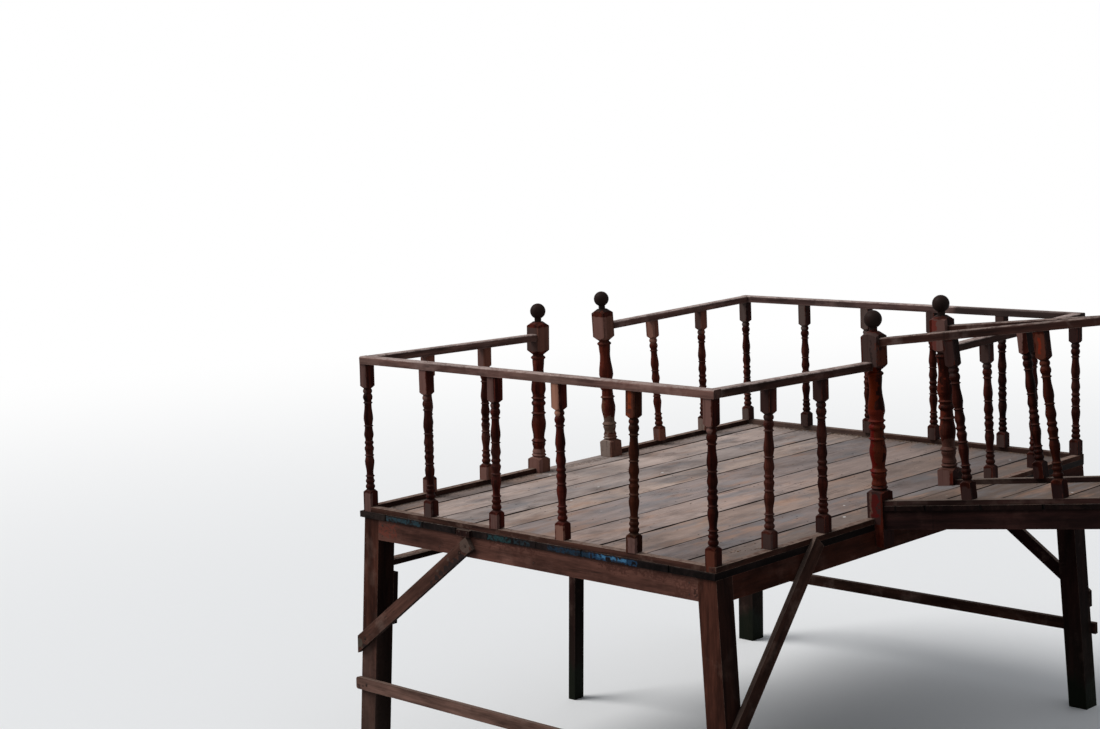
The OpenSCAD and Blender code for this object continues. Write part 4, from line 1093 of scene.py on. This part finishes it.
    def build_newels(self) -> None:
        """Dresses the newels, one of them still bright red and the others greyed at their blocks."""
        low, high = self.boat_newels
        near, back = self.gangway_newels
        lake = (Post(0.0, low, Worn.BARK, Worn.ROSE, (1.2, 1.2, 1.2)),
                Post(0.0, high, Worn.ROSE, Worn.PALE, (1.25, 1.5, 1.5)))
        shore = (Post(2.632, near, Worn.BARK, Worn.SOOT, (0.8, 0.8, 0.8)),
                 Post(2.632, back, Worn.CLAY, Worn.CLAY, (0.9, 0.9, 0.9)))
        balls = tuple(Patch(at(x, y, z), (0.1, 0.1, 0.065), self.ball, 0.92)
                      for x, y, z in ((0.03, low, 1.03), (0.03, high, 1.03), (2.62, near, 1.13),
                                      (2.62, back, 1.13)))
        pale = (Patch(at(0.0, high, 0.21), (0.05, 0.08, 0.05), (0.17, 0.12, 0.09), 0.6, 0.02),
                Patch(at(0.0, high, 0.33), (0.02, 0.08, 0.06), (0.13, 0.065, 0.035), 0.5, 0.03),
                Patch(at(0.05, high, 0.07), (0.004, 0.06, 0.06), (0.05, 0.03, 0.025), 0.7, 0.01),
                *(Patch(at(x, high - 0.05, 0.07), (half, 0.01, 0.06), (0.045, 0.032, 0.026), 0.8, 0.006)
                  for x, half in ((-0.02, 0.004), (0.018, 0.003))))
        red = tuple(Patch(at(x, y, z), half, colour, strength, ragged)
                    for x, y, z, half, colour, strength, ragged in (
            (2.68, near, 0.93, (0.01, 0.05, 0.06), (0.12, 0.025, 0.008), 0.6, 0.014),
            (2.640, near - 0.05, 0.93, (0.006, 0.012, 0.08), (0.022, 0.015, 0.013), 0.7, 0.012),
            (2.61, near, 0.73, (0.045, 0.08, 0.13), (0.085, 0.009, 0.001), 0.95, 0.018),
            (2.625, near, 0.58, (0.08, 0.08, 0.05), (0.105, 0.012, 0.006), 0.75, 0.02),
            (2.60, near, 0.39, (0.04, 0.08, 0.15), (0.10, 0.004, 0.002), 0.92, 0.018),
            (2.66, near, 0.40, (0.02, 0.08, 0.15), (0.082, 0.015, 0.006), 0.85, 0.018),
            (2.62, near, 0.235, (0.08, 0.08, 0.03), (0.085, 0.014, 0.006), 0.7, 0.02),
            (2.640, near - 0.05, 0.10, (0.028, 0.012, 0.065), (0.085, 0.007, 0.006), 0.9, 0.012),
            (2.612, near - 0.05, 0.10, (0.006, 0.012, 0.07), (0.15, 0.085, 0.065), 0.7, 0.008),
            (2.60, back - 0.05, 1.01, (0.016, 0.014, 0.03), (0.16, 0.02, 0.012), 0.75, 0.01),
            (2.60, back - 0.05, 0.90, (0.012, 0.014, 0.03), (0.14, 0.018, 0.012), 0.6, 0.01),
            (2.60, back, 0.62, (0.035, 0.08, 0.2), (0.12, 0.018, 0.008), 0.7, 0.03),
            (2.64, back, 0.27, (0.06, 0.08, 0.09), (0.10, 0.050, 0.038), 0.5, 0.03)))
        self.coat(self.row("Lake newel stain", lake, 0.2, (0.15, 0.07, 0.05), 0.05, (0.78, 0.93), 0.15,
                           balls + pale),
                  "lake_newels")
        self.coat(self.row("Shore newel stain", shore, 0.6, None, 0.05, (0.86, 1.05), 0.19, balls + red),
                  "shore_newels")

    def build_rails(self) -> None:
        """Dresses the rails, greyed on top and worn unevenly along their sides."""
        worn = tuple(Patch(at(x, -0.03, 0.896), (half, 0.02, 0.017), colour, 0.6, 0.01, soft)
                     for x, half, colour, soft in (
                         (0.03, 0.12, (0.28, 0.165, 0.135), 0.06), (1.50, 0.22, (0.27, 0.160, 0.130), 0.1),
                         (2.32, 0.36, (0.125, 0.060, 0.046), 0.12)))
        dark = Patch(at(2.2, 3.51, 0.90), (0.45, 0.03, 0.05), (0.030, 0.020, 0.018), 0.9, 0.01, 0.02)
        lines = (0.045, 0.020, 0.017)
        near = Finish("Near rail", Grain.LONG, (0.075, 0.036, 0.030), (0.20, 0.105, 0.086),
                      (0.31, 0.205, 0.18), (0.50, 0.39, 0.355), weathering=1.0, painted_shade=0.75, wear=0.5,
                      rough=0.65, relief=1.0, grime_and_shade=0.5, rub=0.75, gloss=0.08, blotch=0.6, patches=worn)
        self.coat(near, "near_rail")
        self.coat(replace(near, name="Far rail", deep=lines, main=(0.15, 0.092, 0.083), wear=0.45,
                          patches=(dark,)),
                  "far_rail")
        self.coat(replace(near, name="Lake rails", grain=Grain.ACROSS, deep=lines, main=(0.19, 0.098, 0.078),
                          wear=0.4, painted_shade=0.25, patches=()), "lake_rails")
        self.coat(replace(near, name="Shore rails", grain=Grain.ACROSS, deep=(0.035, 0.014, 0.010),
                          main=(0.12, 0.046, 0.032), wear=0.3, painted_shade=0.5, patches=()), "shore_rails")


@dataclass
class Gangway(Assembly):
    """The sloping gangway with its boards, kerbs and railings.

    Attributes:
        length: Length of its boarded floor along the slope.
        shares: Shares of the boards' widths, from the deck upwards.
        near_face: The near face of its near balusters.
        far_face: The near face of its far balusters.
    """

    length: float = 2.874338
    shares: tuple[int, ...] = (18, 19, 34, 37, 34, 36, 33, 37, 38)
    near_face: float = 1.331
    far_face: float = 2.005

    def up_slope(self, along: float, y: float, rise: float) -> Place:
        """Returns a place in the frame, from metres up the slope and square to the boards' underside."""
        x = FOOT[0] + along * math.cos(SLOPE) - rise * math.sin(SLOPE)
        return at(x, y, FOOT[1] + along * math.sin(SLOPE) + rise * math.cos(SLOPE))

    def splice(self, x: float, z: float) -> tuple[Patch]:
        """Returns the dark line of a splice in a near timber, past the lake balusters and above the deck."""
        return (Patch(at(x, 1.33, z), (0.0015, 0.06, 0.07), (0.004, 0.002, 0.002), 0.9, 0.001),)

    def build(self) -> None:
        """Dresses the gangway and nails its boards."""
        total = sum(self.shares)
        joints = tuple(self.length * sum(self.shares[:i]) / total for i in range(1, len(self.shares)))
        tints = ((0.74, 0.68, 0.65), (0.78, 0.70, 0.66), (0.68, 0.65, 0.64), (0.68, 0.62, 0.58),
                 (0.55, 0.52, 0.51), (0.56, 0.52, 0.50), (0.55, 0.52, 0.51), (0.60, 0.56, 0.53),
                 (0.58, 0.54, 0.52))
        self.coat(Finish("Gangway boards", Grain.ACROSS, (0.006, 0.003, 0.003), (0.018, 0.008, 0.007),
                         (0.05, 0.03, 0.025), (0.26, 0.205, 0.175), weathering=1.0, painted_shade=0.4, wear=0.3,
                         rough=0.8, relief=1.3, grime_and_shade=0.55, blotch=0.0,
                         tints=Tints(joints, tints, 0, True, (1, 3, 5, 7))),
                  "gangway_planks", trodden=True)
        self.coat(Finish("Stringer stain", Grain.GANGWAY, (0.007, 0.003, 0.003), (0.026, 0.0095, 0.008),
                         (0.07, 0.035, 0.028), (0.1, 0.07, 0.055), weathering=0.6, painted_shade=0.3, wear=0.3,
                         rough=0.75, relief=1.4, grime_and_shade=0.6, patches=self.splice(2.999, 0.03)),
                  "gangway_near_stringer", "gangway_far_stringer", "gangway_cross_beam")
        self.coat(Finish("Gangway kerb stain", Grain.GANGWAY, (0.010, 0.005, 0.004), (0.034, 0.014, 0.012),
                         (0.12, 0.085, 0.07), (0.20, 0.15, 0.125), weathering=0.9, painted_shade=0.4, wear=0.35,
                         rough=0.75, relief=1.2, grime_and_shade=0.5, patches=self.splice(2.781, 0.12)),
                  "gangway_kerbs")
        self.coat(Finish("Gangway rail", Grain.GANGWAY, (0.012, 0.005, 0.004), (0.055, 0.020, 0.014),
                         (0.22, 0.16, 0.14), (0.26, 0.19, 0.165), weathering=1.0, painted_shade=0.5, wear=0.35,
                         rough=0.6, relief=1.0, grime_and_shade=0.5, rub=0.6, gloss=0.08, blotch=0.75,
                         patches=self.splice(3.087, 1.07)),
                  "gangway_near_rail", "gangway_far_rail")
        self.build_posts()
        up = (-math.sin(SLOPE), 0.0, math.cos(SLOPE))
        rows = [0.0, *joints, self.length]
        heads = [(self.up_slope(x, y, 0.026), up) for low, high in zip(rows, rows[1:])
                 for x in (low + 0.05, high - 0.05) for y in (1.42, 1.976) if x > 0.12]
        self.fixings.nails("gangway_nails", "deck_timber", heads)

    def build_posts(self) -> None:
        """Dresses the gangway's balusters and end newels, with faded blocks on the four that are seen."""
        tints = ((0.55, 0.6, 0.6), (0.8, 0.8, 0.6), (0.6, 0.7, 0.7), (0.7, 0.8, 0.8), (0.7, 0.8, 0.8))
        row = Tints(tuple(0.86 + 0.535 * i for i in range(4)), tints, 0, True)
        spots = [Patch(self.up_slope(along, y, rise), (0.03, 0.012, tall), face.value, 0.88, 0.008)
                 for along, y, upper, lower in (
                     (0.632, self.near_face, Worn.SOOT, Worn.SOOT),
                     (1.170, self.near_face, Worn.RUST, Worn.SOOT),
                     (0.632, self.far_face, Worn.ROSE, Worn.SOOT),
                     (1.170, self.far_face, Worn.ROSE, Worn.BARK))
                 for rise, tall, face in ((0.80, 0.09, upper), (0.06, 0.06, lower))]
        spots += [Patch(self.up_slope(1.168, self.near_face, rise), (half, 0.012, tall), colour, strength,
                        0.008)
                  for rise, half, tall, colour, strength in (
                      (0.83, 0.008, 0.04, (0.19, 0.022, 0.008), 0.88),
                      (0.06, 0.03, 0.07, (0.011, 0.004, 0.004), 0.85))]
        self.coat(replace(RED, name="Gangway post stain", grain=Grain.GANGWAY_POST, tints=row,
                          patches=tuple(spots)),
                  "gangway_near_balusters", "gangway_far_balusters", "gangway_end_newels")


@dataclass
class Studio:
    """The camera at the photograph's viewing angle, the floor and the soft light.

    Attributes:
        sensor: Width of the camera's sensor, in millimetres.
        width: Width of the photograph, in pixels.
        focal: Focal length, in the same pixels.
        angles: Yaw, pitch and roll of the camera, in degrees.
        place: Where the camera stands in the frame.
        sun: The way the light falls.
    """

    sensor: float = 36.0
    width: float = 1100.0
    focal: float = 1979.5
    angles: Place = (134.436, 7.742, -2.317)
    place: Place = (6.11544, -9.1891, 3.9811)
    sun: Place = (0.50, 0.42, -0.76)

    def build(self) -> None:
        """Builds the camera, the floor, the lights and the white background."""
        self.build_camera()
        self.build_floor()
        self.build_lights()
        self.build_background()

    def build_camera(self) -> None:
        """Places the camera where the photograph was taken from."""
        data = bpy.data.cameras.new("camera")
        data.sensor_width = self.sensor
        data.lens = self.focal * self.sensor / self.width
        data.clip_end = 1000.0
        camera = bpy.data.objects.new("camera", data)
        bpy.context.scene.collection.objects.link(camera)
        yaw, pitch, roll = (math.radians(angle) for angle in self.angles)
        ahead = Vector((math.cos(pitch) * math.cos(yaw), math.cos(pitch) * math.sin(yaw), -math.sin(pitch)))
        right = Vector((math.sin(yaw), -math.cos(yaw), 0.0))
        up = right.cross(ahead)
        side = math.cos(roll) * right + math.sin(roll) * up
        top = -math.sin(roll) * right + math.cos(roll) * up
        turn = Matrix((side, top, -ahead)).transposed().to_4x4()
        camera.matrix_world = Matrix.Translation(self.place) @ turn
        bpy.context.scene.camera = camera

    def build_floor(self) -> None:
        """Lays a pale floor that turns white far away."""
        mesh = bmesh.new()
        bmesh.ops.create_grid(mesh, x_segments=8, y_segments=8, size=150.0)
        data = bpy.data.meshes.new("floor")
        mesh.to_mesh(data)
        mesh.free()
        floor = bpy.data.objects.new("floor", data)
        bpy.context.scene.collection.objects.link(floor)
        material = bpy.data.materials.new("Pale floor")
        material.use_nodes = True
        graph = Graph(material.node_tree)
        shader = graph.tree.nodes["Principled BSDF"]
        shader.inputs["Roughness"].default_value = 0.9
        seen = graph.add("LightPath").outputs["Is Camera Ray"]
        graph.feed(shader.inputs["Base Color"], graph.mix(seen, (0.30, 0.31, 0.32), (0.84, 0.85, 0.86)))
        place = graph.add("TexCoord").outputs["Object"]
        away = graph.add("VectorMath", {0: place}, operation="LENGTH").outputs["Value"]
        light = graph.add("Emission", {"Color": (1.0, 1.0, 1.0), "Strength": 1.0}).outputs[0]
        fade = graph.times(graph.spread(away, 5.0, 22.0, smooth=True), seen)
        both = graph.add("MixShader", {0: fade, 1: shader.outputs[0], 2: light}).outputs[0]
        graph.feed(graph.tree.nodes["Material Output"].inputs["Surface"], both)
        data.materials.append(material)

    def build_lights(self) -> None:
        """Hangs one broad soft light on the lake side, over the near end."""
        data = bpy.data.lights.new("key", "SUN")
        data.energy = 2.3
        data.angle = math.radians(35.0)
        data.color = (1.0, 0.985, 0.965)
        key = bpy.data.objects.new("key", data)
        key.rotation_euler = Vector(self.sun).to_track_quat("-Z", "Y").to_euler()
        bpy.context.scene.collection.objects.link(key)

    def build_background(self) -> None:
        """Makes the background white to the camera and a soft light to the timbers."""
        world = bpy.data.worlds.new("studio")
        bpy.context.scene.world = world
        world.use_nodes = True
        graph = Graph(world.node_tree)
        path = graph.add("LightPath").outputs
        seen = graph.math("MAXIMUM", path["Is Camera Ray"], path["Is Transmission Ray"])
        white = graph.add("Background", {"Color": (1.0, 1.0, 1.0), "Strength": 1.0}).outputs[0]
        soft = graph.add("Background", {"Color": (0.93, 0.96, 1.0), "Strength": 0.42}).outputs[0]
        both = graph.add("MixShader", {0: seen, 1: soft, 2: white}).outputs[0]
        graph.feed(graph.tree.nodes["World Output"].inputs["Surface"], both)
        bpy.context.scene.view_settings.view_transform = "Standard"


def main() -> None:
    """Builds the parts of the jetty in order and then the studio around it."""
    logging.basicConfig(level=logging.INFO, format="%(message)s")
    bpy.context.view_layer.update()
    workshop = Workshop()
    fixings = Fixings(workshop)
    for assembly in (Platform, Understructure, Railings, Gangway):
        assembly(workshop, fixings).build()
    Studio().build()
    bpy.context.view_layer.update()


if __name__ == "__main__":
    main()
